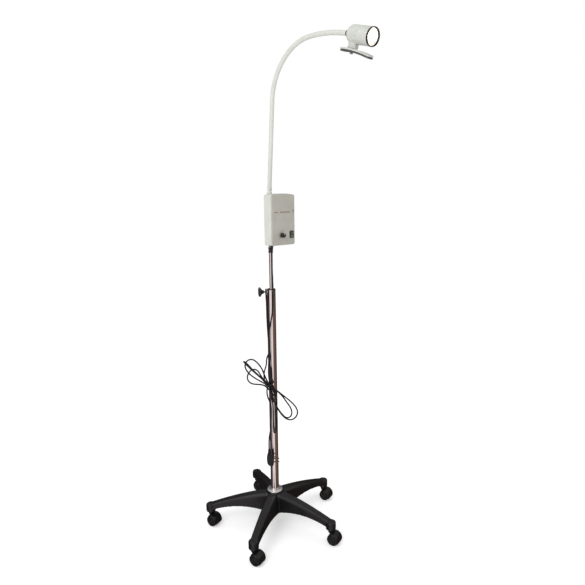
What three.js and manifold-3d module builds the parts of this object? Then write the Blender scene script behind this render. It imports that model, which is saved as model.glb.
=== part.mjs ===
// Mobile examination lamp: five-leg castor base, telescopic pole with clamp screw,
// power unit with dimmer and rocker switch, flexible neck and a spot head with a hand grip.
// Millimetres, +Z up. The origin is on the floor under the pole; the power unit faces -Y.

import * as THREE from 'three';
import { mergeVertices } from 'three/addons/utils/BufferGeometryUtils.js';
import Module from 'manifold-3d';

const wasm = await Module();
wasm.setup();

// ---------------------------------------------------------------- driving dimensions

const GAP = 0.3;                       // clearance between pieces that touch

const CASTOR_CIRCLE = 238;             // radius of the castor stems about the pole
const FIRST_LEG = -76;                 // azimuth of the first leg, degrees
const LEG_COUNT = 5;
const CASTOR_TRAIL_AZIMUTH = -75;      // all castors trail the same way, as after a push
const WHEEL_R = 20;
const TRAIL = 13;                      // swivel axis to wheel axle

const HUB_R = 29.5;
const HUB_TOP = 128;
const HUB_BOTTOM = 50;
const LEG_TIP_TOP = 80;
const LEG_TIP_BOTTOM = 52;
const LEG_TIP_R = 17.5;

const OUTER_TUBE_R = 15;
const OUTER_TUBE_BORE = 13.5;
const OUTER_TUBE_TOP = 879;
const INNER_TUBE_R = 5.6;
const INNER_TUBE_BOTTOM = 466;
const INNER_TUBE_TOP = 1170;
const BUSHING_BOTTOM = 820;

const CLAMP_Z = 872;
const CLAMP_AZIMUTH = 150;
const SCREW_R = 3;

const BOX_W = 100;
const BOX_H = 168;
const BOX_BOTTOM = 1037;
const BOX_BACK = 30;                   // pole axis to the back face
const REAR_DEPTH = 35.4;
const COVER_DEPTH = 4.3;
const BOX_WALL = 2.5;
const BOX_CROWN = 3;                   // rise of the arched top edge
const DIMMER = { x: -9, z: 1070 };
const ROCKER = { x: 34, z: 1071 };
const ROCKER_TILT = 8;                 // degrees, switched on

const NECK_R = 7;
const NECK_START = 1213;
const NECK_LEAN = 4.5;                 // degrees off vertical at the foot
const NECK_STRAIGHT = 286;
const NECK_TIGHT_R = 172;              // first arc, up to the level top
const NECK_WIDE_R = 510;               // second arc, down to the head
const HEAD_TILT = 17;                  // degrees below level
const NECK_JOINTS = [140, 300, 420, 540];

const HEAD_R = 24.5;
const HEAD_LENGTH = 98;
const HEAD_MOUTH = 92;                 // front edge of the housing, behind the ring
const HEAD_WALL = 1.6;

const CORD_R = 2.5;
const HANK_AZIMUTH = -130;             // the side of the pole that the lead hangs on
const HANK_BACK = 19;
const HANK_FRONT = 43;

// ---------------------------------------------------------------- materials

function surface(color, roughness, metalness) {
  return () => new THREE.MeshStandardMaterial({ color, roughness, metalness });
}

const blackNylon = surface(0x161617, 0.55, 0);
const blackRubber = surface(0x101011, 0.7, 0);
const chrome = surface(0xd8d6d2, 0.12, 1);
const steel = surface(0x9a9a98, 0.35, 1);
const brass = surface(0xc8a860, 0.3, 1);
const offWhite = surface(0xd6d7cf, 0.45, 0);
const beige = surface(0xb4b0a2, 0.5, 0);
const blackPlastic = surface(0x0d0d0e, 0.4, 0);
const darkGrip = surface(0x4c4d4c, 0.6, 0);
const greenBoard = surface(0x2c5a3a, 0.6, 0);
const glass = surface(0xf4f2ea, 0.05, 0);
const reflector = surface(0xfff6e4, 0.15, 0.6);
const ceramic = surface(0xe8e4d8, 0.7, 0);

// ---------------------------------------------------------------- shape helpers

const rad = THREE.MathUtils.degToRad;

function polar(radius, degrees) {
  return [radius * Math.cos(rad(degrees)), radius * Math.sin(rad(degrees))];
}

// One closed mesh with merged corners, no needle triangles and its faces pointing out.
function closed(geometry) {
  const source = geometry.clone();
  source.deleteAttribute('normal');
  source.deleteAttribute('uv');
  const merged = mergeVertices(source, 1e-3);
  const position = merged.attributes.position;
  const corners = [];
  for (let i = 0; i < merged.index.count; i += 3) {
    const [a, b, c] = [0, 1, 2].map((k) => merged.index.getX(i + k));
    if (a !== b && b !== c && c !== a) corners.push(a, b, c);
  }
  const [p, q, r] = [new THREE.Vector3(), new THREE.Vector3(), new THREE.Vector3()];
  let volume = 0;
  for (let i = 0; i < corners.length; i += 3) {
    p.fromBufferAttribute(position, corners[i]);
    q.fromBufferAttribute(position, corners[i + 1]);
    r.fromBufferAttribute(position, corners[i + 2]);
    volume += p.dot(q.cross(r));
  }
  if (volume < 0) {
    for (let i = 0; i < corners.length; i += 3) {
      [corners[i], corners[i + 1]] = [corners[i + 1], corners[i]];
    }
  }
  merged.setIndex(corners);
  return merged;
}

function toSolid(geometry) {
  const mesh = closed(geometry);
  return new wasm.Manifold(new wasm.Mesh({
    numProp: 3,
    vertProperties: new Float32Array(mesh.attributes.position.array),
    triVerts: new Uint32Array(mesh.index.array),
  }));
}

function fromSolid(solid) {
  const mesh = solid.getMesh();
  const geometry = new THREE.BufferGeometry();
  geometry.setAttribute('position', new THREE.BufferAttribute(new Float32Array(mesh.vertProperties), 3));
  geometry.setIndex([...mesh.triVerts]);
  geometry.computeVertexNormals();
  return geometry;
}

function cut(geometry, ...tools) {
  return fromSolid(tools.reduce((solid, tool) => solid.subtract(toSolid(tool)), toSolid(geometry)));
}

function join(...geometries) {
  return fromSolid(geometries.map(toSolid).reduce((all, one) => all.add(one)));
}

// A turned shape about Z from [radius, height] pairs that start and end on the axis or close.
function turned(profile, sides = 24) {
  const points = profile.map(([r, z]) => new THREE.Vector2(r, z));
  return new THREE.LatheGeometry(points, sides).rotateX(Math.PI / 2);
}

function ring(inner, outer, low, high, sides = 24) {
  return turned([[inner, low], [outer, low], [outer, high], [inner, high], [inner, low]], sides);
}

function rod(radius, low, high, sides = 24) {
  return turned([[0, low], [radius, low], [radius, high], [0, high]], sides);
}

function block(width, depth, height, x = 0, y = 0, z = 0) {
  return new THREE.BoxGeometry(width, depth, height).translate(x, y, z);
}

// An upright outline in X and Z, extruded towards -Y between two depths.
function upright(shape, near, far, options = {}) {
  const depth = far - near;
  return new THREE.ExtrudeGeometry(shape, { depth, bevelEnabled: false, curveSegments: 4, ...options })
    .rotateX(Math.PI / 2)
    .translate(0, -near, 0);
}

function outline(points) {
  return new THREE.Shape(points.map(([x, y]) => new THREE.Vector2(x, y)));
}

function circle(radius, sides) {
  const corners = Array.from({ length: sides }, (_, i) => polar(radius, (360 * i) / sides));
  return outline(corners);
}

function sweep(path, radius, sides, steps) {
  return new THREE.ExtrudeGeometry(circle(radius, sides), { extrudePath: path, steps, bevelEnabled: false });
}

// A skin over a row of equal closed sections, capped at both ends.
function loft(sections) {
  const size = sections[0].length;
  const corners = sections.flat(2);
  const faces = [];
  for (let s = 0; s + 1 < sections.length; s += 1) {
    for (let i = 0; i < size; i += 1) {
      const [a, b] = [s * size + i, s * size + ((i + 1) % size)];
      faces.push(a, b, b + size, a, b + size, a + size);
    }
  }
  const last = (sections.length - 1) * size;
  for (let i = 1; i + 1 < size; i += 1) {
    faces.push(0, i + 1, i, last, last + i, last + i + 1);
  }
  const geometry = new THREE.BufferGeometry();
  geometry.setAttribute('position', new THREE.BufferAttribute(new Float32Array(corners), 3));
  geometry.setIndex(faces);
  return geometry;
}

const lamp = new THREE.Group();

function piece(parent, name, geometry, material) {
  const mesh = new THREE.Mesh(closed(geometry), material());
  mesh.name = name;
  parent.add(mesh);
  return mesh;
}

function subgroup(parent, x = 0, y = 0, z = 0) {
  const group = new THREE.Group();
  group.position.set(x, y, z);
  parent.add(group);
  return group;
}

// ---------------------------------------------------------------- five-leg base

function legTop(r) {
  return 123 - (123 - LEG_TIP_TOP) * (r / CASTOR_CIRCLE) ** 1.7;
}

function legBottom(r) {
  return Math.max(HUB_BOTTOM, 76 - 17 * ((r - 140) / 100) ** 2);
}

// Six-sided leg section at radius r: flat ridge, chamfer and flared sides, shrunk by inset.
function legSection(r, inset = 0, bottomDrop = 0) {
  const along = r / CASTOR_CIRCLE;
  const ridge = THREE.MathUtils.lerp(15, 11, along) - inset;
  const foot = THREE.MathUtils.lerp(32, 16, along) - inset;
  const shoulder = THREE.MathUtils.lerp(22, 14.5, along) - inset;
  const top = legTop(r) - inset;
  const bottom = legBottom(r) - bottomDrop;
  return [
    [r, -ridge, top], [r, -shoulder, top - 9], [r, -foot, bottom],
    [r, foot, bottom], [r, shoulder, top - 9], [r, ridge, top],
  ];
}

function baseStar() {
  const stations = [12, 60, 110, 150, 195, CASTOR_CIRCLE];
  const pockets = [[38, 88], [92, 142], [146, 200]];
  let star = toSolid(rod(HUB_R, HUB_BOTTOM, HUB_TOP, 24));
  for (let i = 0; i < LEG_COUNT; i += 1) {
    const turn = rad(FIRST_LEG + (360 * i) / LEG_COUNT);
    const leg = loft(stations.map((r) => legSection(r))).rotateZ(turn);
    const boss = rod(LEG_TIP_R, LEG_TIP_BOTTOM, LEG_TIP_TOP, 14).translate(CASTOR_CIRCLE, 0, 0).rotateZ(turn);
    star = star.add(toSolid(leg)).add(toSolid(boss));
  }
  for (let i = 0; i < LEG_COUNT; i += 1) {
    const turn = rad(FIRST_LEG + (360 * i) / LEG_COUNT);
    for (const [from, to] of pockets) {
      const pocket = loft([from, to].map((r) => legSection(r, 5, 12))).rotateZ(turn);
      star = star.subtract(toSolid(pocket));
    }
    const socket = rod(5.8, LEG_TIP_BOTTOM - 20, 75, 12).translate(CASTOR_CIRCLE, 0, 0).rotateZ(turn);
    star = star.subtract(toSolid(socket));
  }
  const tubeBore = rod(OUTER_TUBE_R + GAP, HUB_BOTTOM - 20, HUB_TOP + 20, 24);
  return fromSolid(star.subtract(toSolid(tubeBore)));
}

function baseCollar() {
  const bore = OUTER_TUBE_R + GAP;
  const low = HUB_TOP + GAP;
  return turned([
    [bore, low], [29, low], [28, low + 3.2], [19.5, low + 3.8], [18.2, low + 8], [bore, low + 8], [bore, low],
  ], 24);
}

const base = subgroup(lamp);
piece(base, 'base_star', baseStar(), blackNylon);
piece(base, 'base_collar', baseCollar(), chrome);

// ---------------------------------------------------------------- twin-wheel castors

function castorStem() {
  return turned([
    [0, 38.3], [5.4, 38.3], [5.4, 48.3], [8.5, 48.3], [8.5, 51.6], [5.4, 51.6], [5.4, 74.5], [0, 74.5],
  ], 12);
}

// Outline of the arched cover over both wheels, from behind the wheels to the stem.
function hoodArc(inner, outer, from, to) {
  const steps = 7;
  const arc = (radius, start, end) => Array.from({ length: steps + 1 }, (_, i) => {
    const [x, z] = polar(radius, start + ((end - start) * i) / steps);
    return [x + TRAIL, z + WHEEL_R];
  });
  return outline([...arc(outer, from, to), ...arc(inner, to, from)]);
}

function castorHood() {
  const arch = upright(hoodArc(20.9, 22.8, -22, 122), -18.4, 18.4);
  const web = upright(hoodArc(3.4, 21.9, -20, 120), -3.8, 3.8);
  const hubDisc = upright(circle(7.5, 12), -3.8, 3.8).translate(TRAIL, 0, WHEEL_R);
  const post = rod(9, 40.6, 48, 14);
  const axleHole = upright(circle(3.4, 10), -10, 10).translate(TRAIL, 0, WHEEL_R);
  const stemHole = rod(5.8, 38, 60, 12);
  return cut(join(arch, web, hubDisc, post), axleHole, stemHole);
}

function castorWheels() {
  const side = [
    [3, 4.4], [18.8, 4.4], [WHEEL_R, 5.6], [WHEEL_R, 16], [18.4, 17.9], [13, 17.9], [12, 16.8], [0, 16.8],
  ];
  const mirrored = side.map(([r, y]) => [r, -y]).reverse();
  return turned([...mirrored, ...side], 16).rotateX(Math.PI / 2).translate(TRAIL, 0, WHEEL_R);
}

for (let i = 0; i < LEG_COUNT; i += 1) {
  const [x, y] = polar(CASTOR_CIRCLE, FIRST_LEG + (360 * i) / LEG_COUNT);
  const castor = subgroup(base, x, y, 0);
  castor.rotation.z = rad(CASTOR_TRAIL_AZIMUTH);
  piece(castor, `castor_stem_${i + 1}`, castorStem(), steel);
  piece(castor, `castor_hood_${i + 1}`, castorHood(), blackNylon);
  piece(castor, `castor_wheels_${i + 1}`, castorWheels(), blackPlastic);
}

// ---------------------------------------------------------------- pole and clamp

// A shape made along +X, turned to the clamp's direction at the clamp's height.
function towardsClamp(geometry) {
  return geometry.rotateZ(rad(CLAMP_AZIMUTH)).translate(0, 0, CLAMP_Z);
}

function alongX(geometry) {
  return geometry.rotateY(Math.PI / 2);
}

function clampHole(radius) {
  return towardsClamp(alongX(rod(radius, 2, 40, 12)));
}

function outerTube() {
  const tube = ring(OUTER_TUBE_BORE, OUTER_TUBE_R, LEG_TIP_BOTTOM, OUTER_TUBE_TOP, 24);
  return cut(tube, clampHole(SCREW_R + 0.4));
}

function tubeBushing() {
  const bore = INNER_TUBE_R + GAP;
  const rim = OUTER_TUBE_TOP + GAP;
  const body = turned([
    [bore, BUSHING_BOTTOM], [OUTER_TUBE_BORE - GAP, BUSHING_BOTTOM], [OUTER_TUBE_BORE - GAP, rim],
    [OUTER_TUBE_R, rim], [OUTER_TUBE_R - 1, rim + 2.5], [bore, rim + 2.5], [bore, BUSHING_BOTTOM],
  ], 24);
  return cut(body, clampHole(SCREW_R + 0.4));
}

function clampBoss() {
  const nut = alongX(rod(5.2, 11, 21.3, 6));
  const bore = alongX(rod(SCREW_R + GAP, 5, 25, 12));
  const seat = rod(OUTER_TUBE_R + GAP, -12, 12, 24);
  return towardsClamp(cut(nut, bore, seat));
}

function clampScrew() {
  return towardsClamp(alongX(rod(SCREW_R, 7.2, 36, 12)));
}

// Bell-shaped knob with six finger notches around its wide end.
function clampKnob() {
  const bell = turned([
    [0, 26], [5, 26], [6.5, 30], [9, 34], [16.5, 38.5], [16.5, 42.5], [14, 44], [0, 44.6],
  ], 18);
  const notches = Array.from({ length: 6 }, (_, i) => {
    const [x, y] = polar(18.5, 60 * i + 30);
    return rod(5, 34, 50, 8).translate(x, y, 0);
  });
  const bore = rod(SCREW_R + GAP, 20, 36.3, 12);
  return towardsClamp(alongX(cut(bell, ...notches, bore)));
}

const pole = subgroup(lamp);
piece(pole, 'outer_tube', outerTube(), chrome);
piece(pole, 'tube_bushing', tubeBushing(), blackPlastic);
piece(pole, 'clamp_boss', clampBoss(), steel);
piece(pole, 'clamp_screw', clampScrew(), steel);
piece(pole, 'clamp_knob', clampKnob(), blackPlastic);

// ---------------------------------------------------------------- mast: inner tube and bracket

function innerTube() {
  return ring(INNER_TUBE_R - 1.2, INNER_TUBE_R, INNER_TUBE_BOTTOM, INNER_TUBE_TOP, 18);
}

function innerTubeGuide() {
  return ring(INNER_TUBE_R + GAP, OUTER_TUBE_BORE - GAP, INNER_TUBE_BOTTOM + 2, INNER_TUBE_BOTTOM + 30, 18);
}

// Ribbed collar that stops the mast on the bushing before the power unit reaches it.
function mastFerrule() {
  const bore = INNER_TUBE_R + GAP;
  return turned([
    [bore, 1007], [7.4, 1007], [7.4, 1013], [6.5, 1014], [6.5, 1018], [7.4, 1019], [7.4, 1026], [bore, 1026],
    [bore, 1007],
  ], 18);
}

// Bracket between the mast and the back of the power unit.
function boxBracket() {
  const shape = new THREE.Shape();
  shape.absarc(0, 0, 12, rad(20), rad(160), false);
  shape.lineTo(-19, -BOX_BACK + GAP + 4);
  shape.lineTo(-19, -BOX_BACK + GAP);
  shape.lineTo(19, -BOX_BACK + GAP);
  shape.lineTo(19, -BOX_BACK + GAP + 4);
  const hole = new THREE.Path();
  hole.absarc(0, 0, INNER_TUBE_R + GAP, 0, Math.PI * 2, true);
  shape.holes.push(hole);
  const options = { depth: 100, bevelEnabled: false, curveSegments: 8 };
  return new THREE.ExtrudeGeometry(shape, options).translate(0, 0, 1060);
}

function neckSocket() {
  const bore = INNER_TUBE_R + GAP;
  return turned([
    [bore, 1162], [9, 1162], [9, 1206], [8, 1212], [0, 1212],
    [0, INNER_TUBE_TOP + GAP], [bore, INNER_TUBE_TOP + GAP], [bore, 1162],
  ], 18);
}

const mast = subgroup(lamp);
piece(mast, 'inner_tube', innerTube(), chrome);
piece(mast, 'inner_tube_guide', innerTubeGuide(), blackPlastic);
piece(mast, 'mast_ferrule', mastFerrule(), steel);
piece(mast, 'box_bracket', boxBracket(), offWhite);
piece(mast, 'neck_socket', neckSocket(), offWhite);

// ---------------------------------------------------------------- power unit

// Front outline of the power unit: rounded corners and a gently arched top, shrunk by inset.
function boxOutline(inset) {
  const half = BOX_W / 2 - inset;
  const low = inset;
  const high = BOX_H - BOX_CROWN - inset;
  const r = 6 - Math.min(inset, 3);
  const shape = new THREE.Shape();
  shape.moveTo(-half + r, low);
  shape.lineTo(half - r, low);
  shape.absarc(half - r, low + r, r, -Math.PI / 2, 0, false);
  shape.lineTo(half, high - r);
  shape.absarc(half - r, high - r, r, 0, Math.PI / 2, false);
  shape.quadraticCurveTo(0, high + 2 * BOX_CROWN, -half + r, high);
  shape.absarc(-half + r, high - r, r, Math.PI / 2, Math.PI, false);
  shape.lineTo(-half, low + r);
  shape.absarc(-half + r, low + r, r, Math.PI, Math.PI * 1.5, false);
  return shape;
}

function boxRearShell() {
  const shell = upright(boxOutline(0), BOX_BACK, BOX_BACK + REAR_DEPTH).translate(0, 0, BOX_BOTTOM);
  const inside = upright(boxOutline(BOX_WALL), BOX_BACK + BOX_WALL, BOX_BACK + 40)
    .translate(0, 0, BOX_BOTTOM);
  const cordHole = rod(5.3, BOX_BOTTOM - 10, BOX_BOTTOM + 10, 12).translate(CORD_EXIT.x, CORD_EXIT.y, 0);
  return cut(shell, inside, cordHole);
}

function boxFrontCover() {
  const near = BOX_BACK + REAR_DEPTH + GAP;
  const far = near + COVER_DEPTH;
  const bevel = { bevelEnabled: true, bevelThickness: 3, bevelSize: 3, bevelOffset: -3, bevelSegments: 2 };
  const full = upright(boxOutline(0), near - 6, far - 3, bevel).translate(0, 0, BOX_BOTTOM);
  const behind = block(BOX_W + 40, 20, BOX_H + 60, 0, -near + 10, BOX_BOTTOM + BOX_H / 2);
  const inside = upright(boxOutline(BOX_WALL), near - 10, far - BOX_WALL).translate(0, 0, BOX_BOTTOM);
  const rockerHole = block(13.6, 30, 19.6, ROCKER.x, -far, ROCKER.z);
  const dimmerHole = upright(circle(3.9, 12), far - 15, far + 5).translate(DIMMER.x, 0, DIMMER.z);
  return cut(full, behind, inside, rockerHole, dimmerHole);
}

const BOX_FACE = BOX_BACK + REAR_DEPTH + GAP + COVER_DEPTH;

function transformer() {
  const core = block(58, 26, 48, 0, -48, 1152);
  const winding = block(40, 30, 30, 0, -48, 1152);
  return join(core, winding);
}

function circuitBoard() {
  return block(62, 1.6, 52, -13, -55, 1076);
}

// Turned about Y, so that heights run out of the front face.
function outOfFace(geometry, x, z) {
  return geometry.rotateX(Math.PI / 2).translate(x, 0, z);
}

function dimmerPot() {
  const inner = BOX_FACE - BOX_WALL - GAP;
  return outOfFace(turned([
    [0, 56.2], [8, 56.2], [8, inner], [3.6, inner], [3.6, BOX_FACE + 0.5], [3, BOX_FACE + 0.5],
    [3, BOX_FACE + 8], [0, BOX_FACE + 8],
  ], 12), DIMMER.x, DIMMER.z);
}

function dimmerKnob() {
  const foot = BOX_FACE + 0.8;
  const knob = turned([
    [3.3, foot], [8.2, foot], [8.2, foot + 2], [7.4, foot + 3], [7, foot + 12], [6, foot + 13],
    [0, foot + 13], [0, BOX_FACE + 8 + GAP], [3.3, BOX_FACE + 8 + GAP], [3.3, foot],
  ], 20);
  const pointer = block(1.2, 8, 1.2, 0, 6.8, foot + 13);
  return outOfFace(cut(knob, pointer), DIMMER.x, DIMMER.z);
}

function rockerFrame() {
  const body = block(13, 22, 19, ROCKER.x, -BOX_FACE + 10, ROCKER.z);
  const bezel = block(16.5, 2, 23, ROCKER.x, -BOX_FACE - GAP - 1, ROCKER.z);
  const pocket = block(10.8, 12, 17, ROCKER.x, -BOX_FACE + 3.5, ROCKER.z);
  return cut(join(body, bezel), pocket);
}

// Rocker cap with a shallow V front, tilted about its pivot.
function rockerButton() {
  const side = outline([[-2.5, -5.5], [4.6, -7.7], [3.6, 0], [4.6, 7.7], [-2.5, 5.5]]);
  return new THREE.ExtrudeGeometry(side, { depth: 10, bevelEnabled: false })
    .translate(0, 0, -5)
    .rotateX(Math.PI / 2)
    .rotateZ(-Math.PI / 2)
    .rotateX(rad(ROCKER_TILT))
    .translate(ROCKER.x, -BOX_FACE + 1.5, ROCKER.z);
}

const CORD_EXIT = { x: -26, y: -38, z: 1010 };

// Tapered strain relief under the power unit, with a flange and a stub through the wall.
function cordGland() {
  const top = BOX_BOTTOM - GAP;
  return turned([
    [0, CORD_EXIT.z], [3.4, CORD_EXIT.z], [5.2, top - 4], [8, top - 3], [8, top], [5, top],
    [5, top + 7], [0, top + 7],
  ], 12).translate(CORD_EXIT.x, CORD_EXIT.y, 0);
}

const powerUnit = subgroup(mast);
piece(powerUnit, 'box_rear_shell', boxRearShell(), offWhite);
piece(powerUnit, 'box_front_cover', boxFrontCover(), beige);
piece(powerUnit, 'transformer', transformer(), steel);
piece(powerUnit, 'circuit_board', circuitBoard(), greenBoard);
piece(powerUnit, 'dimmer_pot', dimmerPot(), steel);
piece(powerUnit, 'dimmer_knob', dimmerKnob(), blackPlastic);
piece(powerUnit, 'rocker_frame', rockerFrame(), blackPlastic);
piece(powerUnit, 'rocker_button', rockerButton(), darkGrip);
piece(powerUnit, 'cord_gland', cordGland(), blackRubber);

// ---------------------------------------------------------------- flexible neck

const TIGHT_TURN = rad(90 - NECK_LEAN);
const TIGHT_LENGTH = NECK_TIGHT_R * TIGHT_TURN;
const NECK_LENGTH = NECK_STRAIGHT + TIGHT_LENGTH + NECK_WIDE_R * rad(HEAD_TILT);

// Point and slope of the neck's centre line, a length s above its foot: straight, then two arcs.
function neckAt(s) {
  const straight = Math.min(s, NECK_STRAIGHT);
  const tight = THREE.MathUtils.clamp(s - NECK_STRAIGHT, 0, TIGHT_LENGTH) / NECK_TIGHT_R;
  const wide = Math.max(s - NECK_STRAIGHT - TIGHT_LENGTH, 0) / NECK_WIDE_R;
  const slope = TIGHT_TURN - tight - wide;
  const reach = straight * Math.cos(TIGHT_TURN)
    + NECK_TIGHT_R * (Math.sin(TIGHT_TURN) - Math.sin(TIGHT_TURN - tight)) + NECK_WIDE_R * Math.sin(wide);
  const rise = straight * Math.sin(TIGHT_TURN)
    + NECK_TIGHT_R * (Math.cos(TIGHT_TURN - tight) - Math.cos(TIGHT_TURN))
    - NECK_WIDE_R * (1 - Math.cos(wide));
  return { reach, height: NECK_START + rise, slope };
}

class NeckStretch extends THREE.Curve {
  constructor(from, to) {
    super();
    this.from = from;
    this.to = to;
  }

  getPoint(t, target = new THREE.Vector3()) {
    const { reach, height } = neckAt(this.from + (this.to - this.from) * t);
    return target.set(0, -reach, height);
  }
}

// A stretch of neck: a ball at its pivot, and a flat end that clears the next one's ball.
function neckSegment(from, to, hasBall) {
  const straightish = to <= NECK_STRAIGHT + 20;
  const tube = sweep(new NeckStretch(from, to), NECK_R, 14, straightish ? 1 : 5);
  if (!hasBall) return tube;
  const pivot = neckAt(from);
  const ball = new THREE.SphereGeometry(NECK_R, 12, 6).rotateX(Math.PI / 2 - pivot.slope);
  return join(tube, ball.translate(0, -pivot.reach, pivot.height));
}

const BALL_CLEARANCE = NECK_R + 0.5;
const neckEnds = [...NECK_JOINTS.map((s) => s - BALL_CLEARANCE), NECK_LENGTH];
const neckFeet = [0, ...NECK_JOINTS];
const neck = subgroup(lamp);
neckFeet.forEach((from, i) => {
  piece(neck, `neck_segment_${i + 1}`, neckSegment(from, neckEnds[i], i > 0), offWhite);
});

// ---------------------------------------------------------------- lamp head

// Everything on the head is made about +Z, which is then aimed along the end of the neck.
function neckEndNut() {
  return turned([[0, 0.4], [8, 0.4], [8.4, 1.4], [8.4, 5.6], [7.6, 7.7], [0, 7.7]], 20);
}

function headHousing() {
  const inner = HEAD_R - HEAD_WALL;
  const outside = [[9, 8], [14.6, 11], [20.4, 16.8], [23.6, 23], [HEAD_R, 28.5], [HEAD_R, HEAD_MOUTH]];
  const inside = [[inner, HEAD_MOUTH], [inner, 28.5], [19, 17.6], [13.2, 12.9], [9, 10.2], [0, 10.2]];
  return turned([[0, 8], ...outside, ...inside], 24);
}

function frontRing() {
  const low = HEAD_MOUTH + GAP;
  return turned([
    [21.3, low], [24.9, low], [24.9, HEAD_LENGTH], [23.2, HEAD_LENGTH], [23.2, low + 1.2],
    [21.3, low + 1.2], [21.3, low],
  ], 24);
}

function frontGlass() {
  return rod(22.8, HEAD_MOUTH + GAP + 1.5, HEAD_MOUTH + GAP + 3.7, 24);
}

// Reflector: a bowl open to the front, with its ceramic foot.
function lampReflector() {
  return turned([
    [0, 47], [6.4, 47], [8.2, 51], [17.7, 65], [21.2, 77], [22.3, 91],
    [21.2, 91], [19.5, 77], [16.1, 67], [6.4, 55.5], [0, 55.5],
  ], 20);
}

function lampCapsule() {
  return turned([[0, 56], [4, 56], [4.6, 61], [4.6, 69], [2.6, 73], [0, 74]], 10);
}

function lampHolder() {
  return block(20, 10, 17, 0, 0, 37.5);
}

const GRIP_STEPS = 7;

// Arched bar of the hand grip under the head, between two depths below its own crown.
function gripBar(topDepth, bottomDepth, halfWidth) {
  const crown = 36;
  const middle = 15.7;
  const [start, end] = [-6, 105];
  const stations = Array.from({ length: GRIP_STEPS + 1 }, (_, i) => start + ((end - start) * i) / GRIP_STEPS);
  const sag = (z) => crown + 0.0012 * (z - middle) ** 2;
  return loft(stations.map((z, i) => {
    const half = halfWidth - (i === 0 || i === GRIP_STEPS ? 4 : 0);
    const [top, bottom] = [-sag(z) - topDepth, -sag(z) - bottomDepth];
    return [[-half + 1, top, z], [half - 1, top, z], [half, (top + bottom) / 2, z],
      [half - 1, bottom, z], [-half + 1, bottom, z], [-half, (top + bottom) / 2, z]];
  }));
}

// Stem of the grip: wide where it meets the bar, hollowed to the housing's round at its top.
function gripBracket() {
  const side = outline([[22, 14], [46, 14], [46, 30], [49, 41], [14, 41], [19, 30]]);
  const stem = new THREE.ExtrudeGeometry(side, { depth: 26, bevelEnabled: false })
    .translate(0, 0, -13)
    .rotateY(-Math.PI / 2)
    .rotateZ(Math.PI);
  return cut(stem, rod(HEAD_R + GAP, -10, 100, 28), gripBar(-GAP, 30, 40));
}

// Screw through the bar and its pad into the stem.
function gripScrewHole() {
  return rod(2.4, 28.5, 60, 10).rotateX(Math.PI / 2).translate(0, 0, 31);
}

function gripScrew() {
  return turned([[0, 29], [2, 29], [2, 46.4], [4.6, 46.4], [4.6, 48.8], [3.6, 49.8], [0, 49.8]], 12)
    .rotateX(Math.PI / 2)
    .translate(0, 0, 31);
}

const neckTop = neckAt(NECK_LENGTH);
const head = subgroup(lamp, 0, -neckTop.reach, neckTop.height);
head.rotation.x = Math.PI / 2 + rad(HEAD_TILT);
piece(head, 'neck_end_nut', neckEndNut(), blackRubber);
piece(head, 'head_housing', headHousing(), offWhite);
piece(head, 'front_ring', frontRing(), blackPlastic);
piece(head, 'front_glass', frontGlass(), glass);
piece(head, 'lamp_reflector', lampReflector(), reflector);
piece(head, 'lamp_capsule', lampCapsule(), glass);
piece(head, 'lamp_holder', lampHolder(), ceramic);
piece(head, 'grip_bracket', cut(gripBracket(), gripScrewHole()), offWhite);
piece(head, 'grip_plate', cut(gripBar(0, 4.6, 14), gripScrewHole()), offWhite);
piece(head, 'grip_pad', cut(gripBar(4.9, 9.4, 13), gripScrewHole()), darkGrip);
piece(head, 'grip_screw', gripScrew(), steel);

// ---------------------------------------------------------------- mains lead

// The lead's points are across, out and up, on the side of the pole at HANK_AZIMUTH.
function leadPoint([across, out, up]) {
  const [outX, outY] = polar(out, HANK_AZIMUTH);
  const [acrossX, acrossY] = polar(across, HANK_AZIMUTH + 90);
  return new THREE.Vector3(outX + acrossX, outY + acrossY, up);
}

function leadTube(points, steps) {
  const path = new THREE.CatmullRomCurve3(points.map(leadPoint), false, 'centripetal');
  return sweep(path, CORD_R, 8, steps);
}

// Upper stretch, from the strain relief down past the clamp to the head of the hank.
const UPPER = [
  [4.5, 45.8, 1009.7], [4.4, 45.5, 990], [4.2, 39, 952], [5.5, 33, 904], [5, 29.5, 860],
  [3.5, 27, 814], [-1.5, 25.4, 780], [-7.5, 24.6, 752], [-11, 24.4, 725], [-12.3, 24.8, 695],
  [-12.6, 25.6, 670], [-12.8, 27, 632.3],
];

// Loop over the clamp screw: up on the near side, round the screw, down behind the pole and
// round it to the head of the hank.
const HANGER = [
  [-13, 21.5, 632.3], [-13, 19, 660], [-13.2, 18, 690], [-14.6, 17.6, 740], [-16, 18, 780],
  [-17.6, 18.6, 815], [-18.2, 19, 848], [-18.3, 16.7, 871], [-18.3, 3.2, 881.4], [-18.3, -10.3, 871],
  [-17, -16, 852], [-12, -19.2, 829], [-8.5, -19.6, 798], [-7, -19.8, 740], [-8, -19.6, 692],
  [-13.5, -15.2, 666], [-19.5, -7, 650], [-22, 4, 640], [-21.8, 13.5, 633.5],
];

// Last stretch, from the foot of the hank down to the plug.
const TAIL = [
  [-10, 28.5, 384.4], [-11, 29, 376], [-13, 30, 368], [-16.5, 32, 350], [-18, 34, 325], [-18, 34, 306.3],
];

// Outer shape of the hank: a lobe on each side of a knot, and a bundle along the pole.
const HANK = [
  [-4, 631.6], [-34, 631.6], [-40, 621], [-56, 638], [-73, 646], [-90, 644], [-104, 634],
  [-103, 610], [-96, 586], [-95, 565], [-85, 549], [-66, 542], [-34, 539], [-25, 521], [-24, 492],
  [-16, 478], [-16, 385], [3, 385],
  [3, 366], [17, 366], [17, 442], [30, 418], [50, 407], [68, 406], [84, 417], [92, 435], [91, 452], [80, 474],
  [60, 496], [36, 518], [18, 534], [4, 552], [-1, 580],
];

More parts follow.
